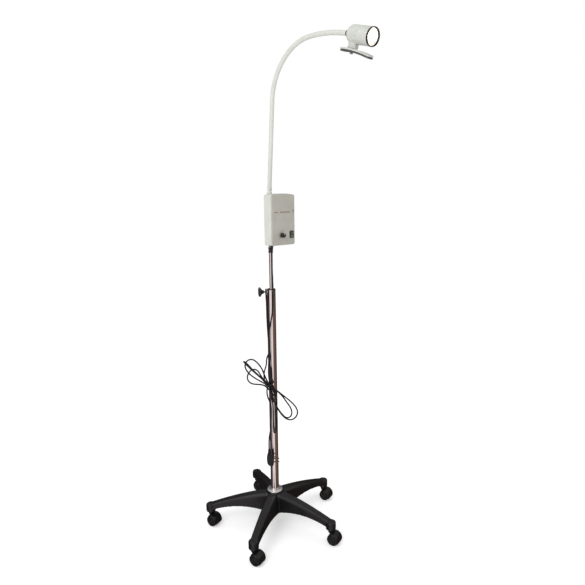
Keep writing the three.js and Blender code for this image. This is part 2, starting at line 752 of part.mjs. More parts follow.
function hank() {
  const depth = HANK_FRONT - HANK_BACK;
  return new THREE.ExtrudeGeometry(outline(HANK), { depth, bevelEnabled: false })
    .rotateX(Math.PI / 2)
    .translate(0, -HANK_BACK, 0)
    .rotateZ(rad(HANK_AZIMUTH + 90));
}

// Right-angled moulded plug: the lead enters from above and the flat blades point across.
const PLUG = { across: -15, out: 34, up: 261 };

function plugPlace(geometry) {
  return geometry.translate(PLUG.across, -PLUG.out, PLUG.up).rotateZ(rad(HANK_AZIMUTH + 90));
}

function bladeShape(grow) {
  return [-6.35, 6.35].map((up) => block(26 + grow, 6.3 + 2 * grow, 1.5 + 2 * grow, 20 - grow / 2, 0, up));
}

function plugBody() {
  const outlineShape = new THREE.Shape();
  outlineShape.moveTo(13, -19);
  outlineShape.lineTo(13, 17);
  outlineShape.quadraticCurveTo(4, 20, 1, 27);
  outlineShape.lineTo(-7, 27);
  outlineShape.quadraticCurveTo(-12, 16, -12, 3);
  outlineShape.quadraticCurveTo(-11, -14, 2, -19);
  const bevel = { bevelEnabled: true, bevelThickness: 4, bevelSize: 3, bevelOffset: -3, bevelSegments: 2 };
  const body = upright(outlineShape, -10, 10, bevel);
  return plugPlace(cut(body, ...bladeShape(GAP)));
}

function plugRelief() {
  const foot = 27 + GAP;
  const tip = 306 - PLUG.up;
  return plugPlace(turned([[0, foot], [5, foot], [3.4, tip], [0, tip]], 12).translate(-3, 0, 0));
}

const lead = subgroup(lamp);
piece(lead, 'lead_upper', leadTube(UPPER, 26), blackRubber);
piece(lead, 'lead_hanger', leadTube(HANGER, 48), blackRubber);
piece(lead, 'lead_hank', hank(), blackRubber);
piece(lead, 'lead_tail', leadTube(TAIL, 7), blackRubber);
piece(lead, 'plug_relief', plugRelief(), blackRubber);
piece(lead, 'plug_body', plugBody(), blackRubber);
bladeShape(0).forEach((blade, i) => {
  piece(lead, `plug_blade_${i + 1}`, plugPlace(blade), brass);
});

export default lamp;
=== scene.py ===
import math
import bpy
import numpy as np
from mathutils import Matrix, Vector


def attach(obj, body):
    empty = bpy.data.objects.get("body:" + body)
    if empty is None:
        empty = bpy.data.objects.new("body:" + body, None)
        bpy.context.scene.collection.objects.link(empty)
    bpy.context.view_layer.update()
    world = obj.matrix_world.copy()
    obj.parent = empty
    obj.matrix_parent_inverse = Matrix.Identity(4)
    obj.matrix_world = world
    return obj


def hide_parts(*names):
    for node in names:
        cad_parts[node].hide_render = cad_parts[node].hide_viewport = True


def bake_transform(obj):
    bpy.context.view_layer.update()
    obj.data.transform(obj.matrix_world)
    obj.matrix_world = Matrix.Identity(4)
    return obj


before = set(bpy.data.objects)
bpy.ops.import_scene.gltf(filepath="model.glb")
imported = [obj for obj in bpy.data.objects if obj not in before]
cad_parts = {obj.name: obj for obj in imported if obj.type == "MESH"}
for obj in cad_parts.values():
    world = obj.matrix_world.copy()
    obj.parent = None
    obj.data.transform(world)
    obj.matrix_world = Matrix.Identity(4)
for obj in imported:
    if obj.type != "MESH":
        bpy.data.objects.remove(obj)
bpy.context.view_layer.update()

scene = bpy.context.scene
scene.view_settings.view_transform = "Standard"

# Sizes are in millimetres, but for the camera, the floor and the lights, which are in metres.
MM = 0.001
GAP = 0.3
OUTER_TUBE_R = 15

# ---- camera

CAMERA_PLACE = Vector((-1.1605, -1.3830, 1.2000))
CAMERA_AIM = Vector((0.6704, 0.7203, -0.1779))
CAMERA_ROLL = math.radians(-0.55)
SENSOR = 36.0
LENS = 32.5963
LENS_SHIFT = (-0.0095, -0.0031)
CLOSEST_SEEN = 0.05


def make_camera():
    data = bpy.data.cameras.new("view_camera")
    data.sensor_width = SENSOR
    data.lens = LENS
    data.shift_x, data.shift_y = LENS_SHIFT
    data.clip_start = CLOSEST_SEEN
    camera = bpy.data.objects.new("view_camera", data)
    scene.collection.objects.link(camera)
    aim = CAMERA_AIM.normalized()
    level_right = aim.cross(Vector((0, 0, 1))).normalized()
    level_up = level_right.cross(aim)
    right = level_right * math.cos(CAMERA_ROLL) + level_up * math.sin(CAMERA_ROLL)
    up = right.cross(aim)
    turn = Matrix((right, up, -aim)).transposed().to_4x4()
    camera.matrix_world = Matrix.Translation(CAMERA_PLACE) @ turn
    scene.camera = camera


make_camera()

# ---- shapes, in millimetres
# A shape is (points, faces). Every shape here is closed.


def outward(shape):
    """The shape with its faces pointing out."""
    points, faces = shape
    p = np.array(points, float)
    volume = 0.0
    for face in faces:
        a = p[face[0]]
        for i in range(1, len(face) - 1):
            volume += np.dot(a, np.cross(p[face[i]], p[face[i + 1]]))
    if volume < 0:
        faces = [tuple(reversed(face)) for face in faces]
    return p, faces


def merged(*shapes):
    """Several shapes as one."""
    points = []
    faces = []
    for shape_points, shape_faces in shapes:
        start = sum(len(p) for p in points)
        points.append(np.array(shape_points, float))
        faces += [tuple(start + i for i in face) for face in shape_faces]
    return np.vstack(points), faces


def placed(shape, matrix):
    points, faces = shape
    m = np.array(matrix, float)
    return np.array(points, float) @ m[:3, :3].T + m[:3, 3], faces


def moved(x, y, z):
    return Matrix.Translation((x, y, z))


def about(axis, degrees):
    return Matrix.Rotation(math.radians(degrees), 4, axis)


def loft(sections):
    """A skin over equal closed sections, capped at both ends."""
    size = len(sections[0])
    count = len(sections)
    points = [tuple(p) for section in sections for p in section]
    faces = []
    for s in range(count - 1):
        here, there = s * size, (s + 1) * size
        for i in range(size):
            j = (i + 1) % size
            faces.append((here + i, here + j, there + j, there + i))
    faces.append(tuple(reversed(range(size))))
    faces.append(tuple(range((count - 1) * size, count * size)))
    return outward((points, faces))


def lathe(profile, sides=64, reach=None):
    """A turned shape about Z from (radius, height) pairs. A profile that starts and ends on the
    axis is closed there, and any other profile is a closed ring. reach(angle, r, z) may change
    a point's radius."""
    on_axis = profile[0][0] == 0 and profile[-1][0] == 0
    body = profile[1:-1] if on_axis else profile
    points = []
    for i in range(sides):
        angle = 2 * math.pi * i / sides
        for r, z in body:
            radius = reach(angle, r, z) if reach else r
            points.append((radius * math.cos(angle), radius * math.sin(angle), z))
    rows = len(body)
    faces = []
    for i in range(sides):
        j = (i + 1) % sides
        for k in range(rows - 1 if on_axis else rows):
            n = (k + 1) % rows
            faces.append((i * rows + k, j * rows + k, j * rows + n, i * rows + n))
    if on_axis:
        first, last = len(points), len(points) + 1
        points += [(0, 0, profile[0][1]), (0, 0, profile[-1][1])]
        for i in range(sides):
            j = (i + 1) % sides
            faces.append((first, j * rows, i * rows))
            faces.append((last, i * rows + rows - 1, j * rows + rows - 1))
    return outward((points, faces))


def mirrored(points, axis=0):
    """Flat points mirrored along one of their axes, in reverse order."""
    if axis:
        return [(a, -b) for a, b in reversed(points)]
    return [(-a, b) for a, b in reversed(points)]


def rounded(profile, radius, steps=3):
    """The profile with its corners rounded, but for its ends."""
    most_of_side = 0.45
    out = []
    last = len(profile) - 1
    for k, corner in enumerate(profile):
        here = Vector(corner)
        if k in (0, last):
            out.append(tuple(here))
            continue
        back = Vector(profile[k - 1]) - here
        ahead = Vector(profile[k + 1]) - here
        cut = min(radius, back.length * most_of_side, ahead.length * most_of_side)
        start = here + back.normalized() * cut
        end = here + ahead.normalized() * cut
        for s in range(steps + 1):
            t = s / steps
            out.append(tuple(start.lerp(here, t).lerp(here.lerp(end, t), t)))
    return out


def turned(profile, edge, sides=64, steps=3):
    """A lathe shape with its corners rounded."""
    return lathe(rounded(profile, edge, steps), sides)


def ring(inner, outer, low, high, sides=64, edge=0.6):
    """A turned tube with rounded edges."""
    corners = [(inner, low), (outer, low), (outer, high), (inner, high)]
    loop = rounded([*corners, corners[0], corners[1]], edge)
    return lathe(loop[4:-1], sides)


def rod(radius, low, high, sides=48, edge=0.6):
    """A turned pin with rounded edges."""
    return turned([(0, low), (radius, low), (radius, high), (0, high)], edge, sides)


def slab(outline, near, far):
    """An outline of (x, z) points extruded towards -Y between two depths."""
    return loft([[(x, -depth, z) for x, z in outline] for depth in (near, far)])


def rectangle(width, height):
    w, h = width / 2, height / 2
    return [(-w, -h), (w, -h), (w, h), (-w, h)]


def block(size, centre):
    """A box of a size (across, deep, high) about a centre."""
    width, deep, height = size
    return placed(slab(rectangle(width, height), -deep / 2, deep / 2), moved(*centre))


def catmull(points, step, samples=24):
    """Evenly spaced points, step apart, on a smooth curve through the points."""
    p = np.array(points, float)
    p = np.vstack([2 * p[0] - p[1], p, 2 * p[-1] - p[-2]])
    line = []
    for i in range(1, len(p) - 2):
        q = p[i - 1 : i + 3]
        t = np.concatenate([[0], np.cumsum(np.sqrt(np.linalg.norm(np.diff(q, axis=0), axis=1)))])
        u = np.linspace(t[1], t[2], samples, endpoint=False)[:, None]
        a = [((t[k + 1] - u) * q[k] + (u - t[k]) * q[k + 1]) / (t[k + 1] - t[k]) for k in range(3)]
        b = [((t[k + 2] - u) * a[k] + (u - t[k]) * a[k + 1]) / (t[k + 2] - t[k]) for k in range(2)]
        line.append(((t[2] - u) * b[0] + (u - t[1]) * b[1]) / (t[2] - t[1]))
    return evenly(np.vstack([*line, p[-2:-1]]), step)


def evenly(line, step):
    """The line cut into equal steps."""
    along = np.concatenate([[0], np.cumsum(np.linalg.norm(np.diff(line, axis=0), axis=1))])
    at = np.linspace(0, along[-1], round(along[-1] / step) + 1)
    return np.stack([np.interp(at, along, line[:, k]) for k in range(3)], axis=1)


def tube(line, radius, sides):
    """A round tube with rings that don't twist."""
    line = np.array(line, float)
    tangents = np.gradient(line, axis=0)
    tangents /= np.linalg.norm(tangents, axis=1)[:, None]
    turns = [2 * math.pi * i / sides for i in range(sides)]
    any_direction = (0.3, 0.9, 0.2)
    side = np.cross(tangents[0], any_direction)
    sections = []
    for centre, along in zip(line, tangents):
        side = side - along * np.dot(side, along)
        side /= np.linalg.norm(side)
        other = np.cross(along, side)
        ring_points = [math.cos(a) * side + math.sin(a) * other for a in turns]
        sections.append([centre + radius * point for point in ring_points])
    return loft(sections)


# ---- finishes


def nodes_of(name):
    """A new material, its node tree and its shader."""
    material = bpy.data.materials.new(name)
    material.use_nodes = True
    tree = material.node_tree
    return material, tree, tree.nodes["Principled BSDF"]


def feed(tree, socket, value):
    """Links the socket to another one, or gives it a plain value."""
    if isinstance(value, bpy.types.NodeSocket):
        tree.links.new(value, socket)
    else:
        socket.default_value = value


def new_node(tree, kind, **inputs):
    """A shader node with its inputs fed. An input's name has _ for a space."""
    node = tree.nodes.new("ShaderNode" + kind)
    for name, value in inputs.items():
        feed(tree, node.inputs[name.replace("_", " ")], value)
    return node


def noise(tree, place, scale, detail, roughness):
    node = new_node(tree, "TexNoise", Vector=place, Scale=scale, Detail=detail, Roughness=roughness)
    return node.outputs["Fac"]


def ramp(tree, value, stops):
    """A colour that runs through stops of (position, colour) as the value goes from 0 to 1."""
    node = new_node(tree, "ValToRGB", Fac=value)
    edges = node.color_ramp.elements
    edges[0].position, edges[0].color = stops[0][0], (*stops[0][1], 1)
    edges[1].position, edges[1].color = stops[-1][0], (*stops[-1][1], 1)
    for position, colour in stops[1:-1]:
        edges.new(position).color = (*colour, 1)
    return node.outputs["Color"]


def between(tree, value, low, high, start=0.3, end=0.7):
    """The value's stretch from start to end, spread from low to high."""
    node = new_node(tree, "MapRange", Value=value, From_Min=start, From_Max=end, To_Min=low,
                    To_Max=high)
    return node.outputs["Result"]


def bumped(tree, height, strength, depth):
    return new_node(tree, "Bump", Height=height, Strength=strength, Distance=depth).outputs["Normal"]


def stretched(tree, scale):
    """The piece's own coordinates, scaled along each axis."""
    place = new_node(tree, "TexCoord").outputs["Object"]
    return new_node(tree, "Mapping", Vector=place, Scale=scale).outputs["Vector"]


def finish(name, dark, light, rough=(0.4, 0.5), metal=0.0, blotch=18, grain=900,
           bump=0.15, depth=0.0002, grow=(1, 1, 1), **sockets):
    """A finish with slow colour blotches, a fine moulded or worn grain, and uneven gloss. The
    sockets are uniform values of the shader, named with _ for a space."""
    material, tree, shader = nodes_of(name)
    place = stretched(tree, grow)
    slow = noise(tree, place, blotch, 4.0, 0.6)
    fine = noise(tree, place, grain, 2.0, 0.6)
    wear = noise(tree, place, blotch * 4, 5.0, 0.7)
    feed(tree, shader.inputs["Base Color"], ramp(tree, slow, [(0.32, dark), (0.68, light)]))
    feed(tree, shader.inputs["Roughness"], between(tree, wear, *rough))
    feed(tree, shader.inputs["Normal"], bumped(tree, fine, bump, depth))
    feed(tree, shader.inputs["Metallic"], metal)
    for socket, value in sockets.items():
        feed(tree, shader.inputs[socket.replace("_", " ")], value)
    return material


def grey(value):
    return value, value, value


NYLON = finish("nylon_black", grey(0.004), grey(0.0075), rough=(0.3, 0.44), blotch=30, grain=1400,
               bump=0.2, Specular_IOR_Level=0.34)
CASTOR_BLACK = finish("castor_black", grey(0.004), grey(0.008), rough=(0.28, 0.42), blotch=60, grain=1600,
                      Specular_IOR_Level=0.36)
CHROME = finish("chrome_plate", (0.74, 0.70, 0.68), (0.80, 0.77, 0.76), rough=(0.045, 0.11), metal=1.0,
                blotch=14, grain=260, bump=0.03, depth=0.00005, grow=(1, 1, 0.08))
SATIN = finish("satin_plate", (0.66, 0.65, 0.64), (0.72, 0.71, 0.70), rough=(0.26, 0.34), metal=1.0,
               blotch=30, grain=600, bump=0.04)
STEEL = finish("bright_steel", (0.42, 0.42, 0.42), (0.56, 0.55, 0.54), rough=(0.22, 0.4), metal=1.0,
               blotch=90, grain=1200, bump=0.1)
BLACK = finish("plastic_black", grey(0.010), grey(0.018), rough=(0.28, 0.42), blotch=60, grain=1500,
               bump=0.1)
SHELL = finish("paint_off_white", (0.56, 0.565, 0.52), (0.62, 0.625, 0.58), rough=(0.34, 0.46), blotch=20,
               grain=650, bump=0.22, Coat_Weight=0.15, Coat_Roughness=0.25)
# Painted shade: the front cover wears a darker copy of the off-white shell paint, standing in for the
# shade on the face turned away from the light.
SHADED_COVER_PAINT = finish("shell_paint_painted_shade", (0.37, 0.36, 0.315), (0.42, 0.41, 0.365), rough=(0.36, 0.5), blotch=20,
               grain=650, bump=0.22, Coat_Weight=0.12, Coat_Roughness=0.3)
SLEEVE = finish("sleeve_off_white", (0.55, 0.56, 0.51), (0.61, 0.62, 0.575), rough=(0.3, 0.42), blotch=26,
                grain=500, bump=0.03)
RUBBER = finish("lead_rubber", grey(0.005), grey(0.010), rough=(0.4, 0.55), blotch=70, grain=1800,
                bump=0.2, Specular_IOR_Level=0.32)
GRIP_GREY = finish("grip_grey", grey(0.055), grey(0.085), rough=(0.5, 0.65), blotch=60, grain=1500,
                   bump=0.3)
SWITCH = finish("switch_grey", (0.045, 0.062, 0.05), (0.075, 0.095, 0.08), rough=(0.3, 0.42), blotch=80,
                grain=1500, bump=0.1)
BRASS = finish("dull_brass", (0.13, 0.08, 0.055), (0.2, 0.13, 0.09), rough=(0.3, 0.42), metal=1.0,
               blotch=80, grain=1200, bump=0.08)
CERAMIC = finish("ceramic", (0.66, 0.62, 0.54), (0.76, 0.72, 0.65), rough=(0.5, 0.7), blotch=90)
BOARD = finish("board_green", (0.02, 0.085, 0.035), (0.035, 0.12, 0.055), rough=(0.3, 0.45), blotch=120,
               grain=700, bump=0.3)
CORE = finish("transformer_core", (0.16, 0.15, 0.14), (0.26, 0.25, 0.24), rough=(0.35, 0.5), metal=0.9,
              blotch=40, grow=(1, 12, 1))
RED_INK = finish("print_red", (0.25, 0.13, 0.12), (0.31, 0.17, 0.155), blotch=120)
WHITE_INK = finish("print_white", grey(0.62), grey(0.72), blotch=120)
DARK_INK = finish("print_dark", grey(0.03), grey(0.05), blotch=120)


def make_glow(name, dark, light, strength, metal):
    """A surface glowing warm white, as a lit lamp does; on a part that is no lamp the glow is painted
    light.
    """
    return finish(name, dark, light, rough=(0.12, 0.22), metal=metal, blotch=60, grain=600, bump=0.05,
                  Emission_Color=(1.0, 0.93, 0.87, 1), Emission_Strength=strength)


GLASS = finish("front_glass", grey(0.93), grey(0.98), rough=(0.01, 0.04), blotch=40, grain=300,
               bump=0.02, Transmission_Weight=1.0, IOR=1.45)
# Painted light: the reflector bowl is no lamp, yet it is given its own warm white glow.
REFLECTOR_PAINTED_GLOW = make_glow("reflector_painted_glow", (0.80, 0.75, 0.70), (0.95, 0.92, 0.88), 0.32, 0.85)
FILAMENT = make_glow("lit_capsule", (0.95, 0.9, 0.8), (1.0, 0.97, 0.9), 5.0, 0.0)

# ---- pieces


def piece(name, shape, material, body, stands_for=(), crease=35):
    """A smooth-shaded piece made from a shape, riding on a body of the model."""
    points, faces = shape
    mesh = bpy.data.meshes.new(name)
    mesh.from_pydata([tuple(p) for p in np.array(points) * MM], [], faces)
    mesh.shade_smooth()
    mesh.set_sharp_from_angle(angle=math.radians(crease))
    mesh.materials.append(material)
    made = bpy.data.objects.new(name, mesh)
    scene.collection.objects.link(made)
    if body:
        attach(made, body)
    if stands_for:
        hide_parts(*stands_for)
    return made


def bevelled(made, width, segments=3):
    """Rounds the piece's edges. The width is in millimetres."""
    modifier = made.modifiers.new("edges", "BEVEL")
    modifier.width = width * MM
    modifier.segments = segments
    modifier.limit_method = "ANGLE"
    modifier.angle_limit = math.radians(30)
    modifier.harden_normals = True
    return made


def baked(made):
    """The piece with its modifiers applied."""
    shown = made.evaluated_get(bpy.context.evaluated_depsgraph_get())
    mesh = bpy.data.meshes.new_from_object(shown)
    made.modifiers.clear()
    made.data = mesh
    return made


def kept(node, material, edge=0.0):
    """A node of the model that is shown as it is, with its own finish."""
    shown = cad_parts[node]
    shown.data.materials.clear()
    shown.data.materials.append(material)
    if edge:
        bevelled(shown, edge, 2)


# ---- mains lead

HANK_AZIMUTH = math.radians(-130)
CORD_R = 2.5
CORD_STEP = 3.0
POLE_CLEAR = OUTER_TUBE_R + CORD_R + GAP

# Points on the lead are (across, out, up), on the side of the pole at HANK_AZIMUTH.
UPPER = [
    (4.5, 45.8, 1009.7), (4.4, 45.5, 990), (4.2, 39, 952), (5.5, 33, 904), (5, 29.5, 860),
    (3.5, 27, 814), (-1.5, 25.4, 780), (-7.5, 24.6, 752), (-11, 24.4, 725), (-12.3, 24.8, 695),
    (-12.6, 25.6, 670), (-12.8, 27, 632.3),
]
INTO_KNOT = [(-12.8, 27, 632.3), (-14, 28.5, 612), (-14.5, 28.5, 584), (-12, 27, 558)]
RIGHT_INNER = [
    (-4, 27, 537), (13, 28, 521), (31, 28, 502), (47, 28, 478), (60, 28, 457), (65, 28, 440),
    (60, 28, 423), (48, 28, 418), (34, 28, 429), (20, 28, 448), (9, 29, 468), (1, 30, 488),
    (-6, 30, 516),
]
LEFT_UPPER = [
    (-14, 31, 546), (-26, 31, 572), (-38, 30, 604), (-56, 30, 629), (-73, 30, 639), (-89, 30, 633),
    (-96, 30, 616), (-90, 30, 598), (-78, 30, 583), (-60, 30, 569), (-36, 31, 554),
]
RIGHT_OUTER = [
    (-12, 33, 540), (12, 34, 525), (33, 34, 507), (56, 34, 487), (76, 34, 465), (85, 34, 444),
    (80, 34, 425), (65, 34, 414), (49, 34, 416), (33, 34, 429), (20, 34.5, 448), (10, 35, 468),
    (1, 35.5, 488), (-6, 36, 514),
]
LEFT_NARROW = [
    (-15, 38, 542), (-33, 39, 565), (-52, 40, 584), (-72, 42, 604), (-86, 45, 620), (-96, 42.5, 630),
    (-100.5, 31, 632.5), (-95, 18.5, 625), (-83, 17, 612), (-70, 21, 598), (-52, 23, 580),
    (-34, 25, 562),
]
KNOT_TURN = [
    (-16, 24, 545), (-3, 22, 532), (8, 23, 519), (13, 31, 508), (8, 40, 506), (-3, 43, 516),
    (-16, 42, 533),
]
LEFT_LOWER = [
    (-32, 38, 546), (-52, 35, 549), (-70, 34, 551), (-83, 34, 559), (-89, 34, 574), (-83, 34, 592),
    (-69, 34, 604), (-54, 34, 600), (-45, 34, 586), (-35, 35, 570), (-22, 38, 555),
]
BUNDLE = [
    (-8, 39, 540), (3, 37, 520), (9, 31, 497), (11, 24, 470), (12, 18, 435), (12, 14.5, 402),
    (11, 15, 382), (8, 21, 369), (4, 31, 364), (1, 40, 371), (0, 43.5, 387), (-1, 42, 415),
    (-1, 38, 460), (-4, 36, 500), (-6, 34, 525), (-5, 30, 555), (-5.5, 25, 585), (-8.5, 22, 610),
]
OVER_CLAMP = [
    (-13, 21.5, 632.3), (-13, 17, 655), (-13, 13.5, 680), (-13.2, 12.2, 705), (-15, 9.8, 740),
    (-16.4, 7, 780), (-16.8, 6.4, 816), (-17.1, 8.5, 840), (-18, 14, 857), (-18.4, 16.6, 868),
    (-18.4, 13, 877.5), (-18.4, 3.2, 882), (-18.4, -6.6, 877.5), (-18.3, -10.3, 868), (-17, -15, 850),
    (-12, -19.2, 829), (-8.5, -19.6, 798), (-7, -19.8, 740), (-7, -19.6, 680), (-11.5, -16.4, 650),
    (-18, -8, 636), (-21, 3, 628), (-21.5, 13.5, 621),
]
WRAP = [
    (-23, 21.5, 612), (-26.5, 26, 602), (-30, 27, 589), (-30, 30, 570), (-27, 38, 554), (-19, 44, 545),
    (-9, 44.5, 547), (0, 38, 554), (2, 28, 557), (-5, 19, 554), (-14, 16.5, 545), (-19.5, 19.5, 533),
    (-21.5, 26, 521), (-20, 32, 503), (-14, 33, 487), (-10, 31, 474), (-8, 29, 455), (-8.5, 28, 420),
]
TAIL = [
    (-10, 28.5, 384.4), (-11, 29, 376), (-13, 30, 368), (-16.5, 32, 350), (-18, 34, 325),
    (-18, 34, 306.3),
]
LOWER = (INTO_KNOT + RIGHT_INNER + LEFT_UPPER + RIGHT_OUTER + LEFT_NARROW + KNOT_TURN + LEFT_LOWER
         + BUNDLE + OVER_CLAMP + WRAP + TAIL)


def settled(line, thick, rounds=160):
    """The route with its crossings pushed a diameter apart, clear of the pole, and its bends eased."""
    spacing = 1.03 * thick
    neighbours = 6
    push_share, pull_share = 0.6, 0.03
    even_share, ease_share = 0.2, 0.25
    eased_radius = 17
    tiny = 1e-6
    x = line.copy()
    index = np.arange(len(x))
    distinct = abs(index[:, None] - index[None, :]) > neighbours
    for _ in range(rounds):
        squares = ((x[:, None, :] - x[None, :, :]) ** 2).sum(2)
        i, j = np.nonzero((squares < spacing**2) & distinct)
        away = x[i] - x[j]
        far = np.linalg.norm(away, axis=1) + tiny
        push = np.zeros_like(x)
        count = np.zeros(len(x))
        np.add.at(push, i, away * ((spacing - far) / far)[:, None])
        np.add.at(count, i, 1)
        x += push_share * push / np.maximum(count, 1)[:, None]
        radius = np.hypot(x[:, 0], x[:, 1])
        x[:, :2] *= np.maximum(1, POLE_CLEAR / np.maximum(radius, tiny))[:, None]
        x += pull_share * (line - x)
        for _ in range(2):
            bend = np.zeros_like(x)
            bend[1:-1] = (x[:-2] + x[2:]) / 2 - x[1:-1]
            curvature = 2 * np.linalg.norm(bend, axis=1) / CORD_STEP**2
            tight = np.clip(curvature * eased_radius - 1, 0, 1)
            uneven = np.zeros_like(x)
            uneven[2:-2] = bend[2:-2] - (bend[1:-3] + bend[3:-1]) / 2
            x += even_share * uneven + bend * (ease_share * tight)[:, None]
            x[:2], x[-2:] = line[:2], line[-2:]
    return x


def from_hank(line):
    """Points (across, out, up) as points (x, y, z)."""
    across, out, up = np.array(line, float).T
    c, s = math.cos(HANK_AZIMUTH), math.sin(HANK_AZIMUTH)
    return np.stack([out * c - across * s, out * s + across * c, up], axis=1)


def hank_frame():
    """Turns a shape made in (across, -out, up) to its side of the pole."""
    return about("Z", math.degrees(HANK_AZIMUTH) + 90)


PLUG_ACROSS, PLUG_OUT, PLUG_UP = -15, 34, 261
PLUG_HALF_WIDTH, PLUG_HALF_HEIGHT = 14, 27
TAIL_ACROSS, TAIL_END = -18, 306
PLUG_OUTLINE = [
    (13, -18.4), (13.4, 0), (13, 17), (8.5, 19), (4, 22.5), (1.6, 27), (-7, 27), (-10, 21), (-11.8, 12),
    (-12.2, 2), (-10.6, -8), (-6, -15), (2, -18.8),
]


def plug_section(share, depth):
    """Outline of the plug body at a depth, drawn in by a share of the edge rounding."""
    inset = 4.0 * share
    narrow, short = 1 - inset / PLUG_HALF_WIDTH, 1 - inset / PLUG_HALF_HEIGHT
    return [(x * narrow, -depth, z * short) for x, z in PLUG_OUTLINE]


def make_plug():
    edge = [(0, 8.5), (0.15, 11.5), (0.45, 13.2), (1.0, 14)]
    body = loft([plug_section(share, depth) for share, depth in mirrored(edge, 1) + edge])
    spot = hank_frame() @ moved(PLUG_ACROSS, -PLUG_OUT, PLUG_UP)
    made = piece("plug_shell", placed(body, spot), RUBBER, "stand", ("plug_body",),
                 crease=60)
    smooth = made.modifiers.new("round", "SUBSURF")
    smooth.levels = smooth.render_levels = 2
    return baked(made)


def make_plug_boot():
    """Tapered strain relief with shallow rings."""
    foot, tip = PLUG_HALF_HEIGHT + GAP, TAIL_END - PLUG_UP
    foot_r, tip_r = 5.2, 3.4
    groove = 0.35
    rings = 4
    profile = [(0, foot), (foot_r, foot)]
    for k in range(rings):
        share = (k + 0.5) / rings
        z = foot + (tip - foot) * share
        r = foot_r + (tip_r - foot_r) * share
        profile += [(r, z - 0.8), (r - groove, z - 0.3), (r - groove, z + 0.3), (r, z + 0.8)]
    profile += [(tip_r, tip - 1), (0, tip)]
    boot = turned(profile, 0.3, 32, 2)
    spot = hank_frame() @ moved(TAIL_ACROSS, -PLUG_OUT, PLUG_UP)
    return piece("plug_boot", placed(boot, spot), RUBBER, "stand", ("plug_relief",),
                 crease=60)


def make_lead():
    upper = from_hank(catmull(UPPER, CORD_STEP))
    lower = from_hank(settled(catmull(LOWER, CORD_STEP), 2 * CORD_R))
    top = piece("lead_upper_cord", tube(upper, CORD_R, 14), RUBBER, None,
                ("lead_upper",))
    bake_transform(top)
    hank = piece("lead_lower_cord", tube(lower, CORD_R, 12), RUBBER, "stand",
                 ("lead_hanger", "lead_hank", "lead_tail"))
    blades = [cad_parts[f"plug_blade_{n}"] for n in (1, 2)]
    plug = [make_plug(), make_plug_boot(), *blades]
    for n in (1, 2):
        kept(f"plug_blade_{n}", BRASS, 0.35)


make_lead()

# ---- five-leg base

CASTOR_CIRCLE = 238
FIRST_LEG = -76
LEG_COUNT = 5
HUB_R, HUB_BOTTOM, HUB_TOP = 29.5, 50, 128
LEG_TIP_TOP, LEG_TIP_BOTTOM, LEG_TIP_R = 80, 52, 17.5
LEG_WALL = 4.5
LEG_SHOULDER_DROP = 9
LEG_RIBS = (84, 132, 180)
RIB_HALF = 1.9
VOXEL = 1.6


def leg_top(r):
    root_top = 123
    return root_top - (root_top - LEG_TIP_TOP) * (r / CASTOR_CIRCLE) ** 1.7


def leg_bottom(r):
    """Height of a leg's lower edge, which is arched."""
    arch_middle, arch_top, arch_bow = 140, 76, 0.0017
    return max(HUB_BOTTOM, arch_top - arch_bow * (r - arch_middle) ** 2)


def leg_widths(r):
    """Half widths of the ridge, the shoulder and the foot of a leg's section."""
    along = r / CASTOR_CIRCLE
    return 15 - 4 * along, 22 - 7.5 * along, 32 - 16 * along


def leg_section(r):
    """Section of a hollow leg, open underneath."""
    ridge, shoulder, foot = leg_widths(r)
    top, bottom = leg_top(r), leg_bottom(r)
    bend = top - LEG_SHOULDER_DROP
    wall = LEG_WALL
    outer = [(ridge, top), (shoulder, bend), (foot, bottom)]
    inner = [
        (foot - wall, bottom), (shoulder - wall, bend - wall * 0.5), (ridge - wall * 0.7, top - wall),
    ]
    return [(r, y, z) for y, z in mirrored(outer) + outer + inner + mirrored(inner)]


def leg_rib(r):
    """Rib across the hollow of a leg."""
    _, shoulder, foot = leg_widths(r)
    half = [(shoulder - 2, leg_top(r) - 11), (foot - 2, leg_bottom(r) + 4)]
    outline = mirrored(half) + half
    return loft([[(r + side, y, z) for y, z in outline] for side in (-RIB_HALF, RIB_HALF)])


def leg_spine():
    """Rib down the middle of a leg's underside."""
    sections = []
    for r in (30, 80, 130, 180, 226):
        foot, top = leg_bottom(r) + 5, leg_top(r) - 3
        half = [(RIB_HALF, top), (RIB_HALF, foot)]
        sections.append([(r, y, z) for y, z in mirrored(half) + half])
    return loft(sections)


def hub_shape():
    bore = OUTER_TUBE_R + GAP
    return turned([
        (bore, HUB_BOTTOM), (HUB_R, HUB_BOTTOM), (HUB_R, HUB_TOP - 2), (HUB_R - 2, HUB_TOP),
        (bore, HUB_TOP), (bore, HUB_BOTTOM + 1),
    ], 0.8, 96)


def leg_tip():
    """Round end of a leg, with the socket for its castor."""
    socket_r, socket_top = 5.8, 75
    return lathe([
        (0, socket_top), (socket_r, socket_top), (socket_r, LEG_TIP_BOTTOM),
        (LEG_TIP_R - 1, LEG_TIP_BOTTOM), (LEG_TIP_R, LEG_TIP_BOTTOM + 1), (LEG_TIP_R, LEG_TIP_TOP - 3),
        (LEG_TIP_R - 2.5, LEG_TIP_TOP - 0.4), (0, LEG_TIP_TOP),
    ], 40)


def make_base():
    hollow = loft([leg_section(r) for r in np.linspace(17, CASTOR_CIRCLE - 6, 26)])
    tip = placed(leg_tip(), moved(CASTOR_CIRCLE, 0, 0))
    leg = merged(hollow, leg_spine(), *[leg_rib(r) for r in LEG_RIBS], tip)
    legs = [placed(leg, about("Z", FIRST_LEG + 360 * i / LEG_COUNT)) for i in range(LEG_COUNT)]
    star = piece("base_star_moulding", merged(hub_shape(), *legs), NYLON, "stand",
                 ("base_star",))
    remesh = star.modifiers.new("mould", "REMESH")
    remesh.mode = "VOXEL"
    remesh.voxel_size = VOXEL * MM
    remesh.use_smooth_shade = True
    smooth = star.modifiers.new("soften", "SMOOTH")
    smooth.factor = 0.5
    smooth.iterations = 3
    baked(star)
    star.data.shade_smooth()


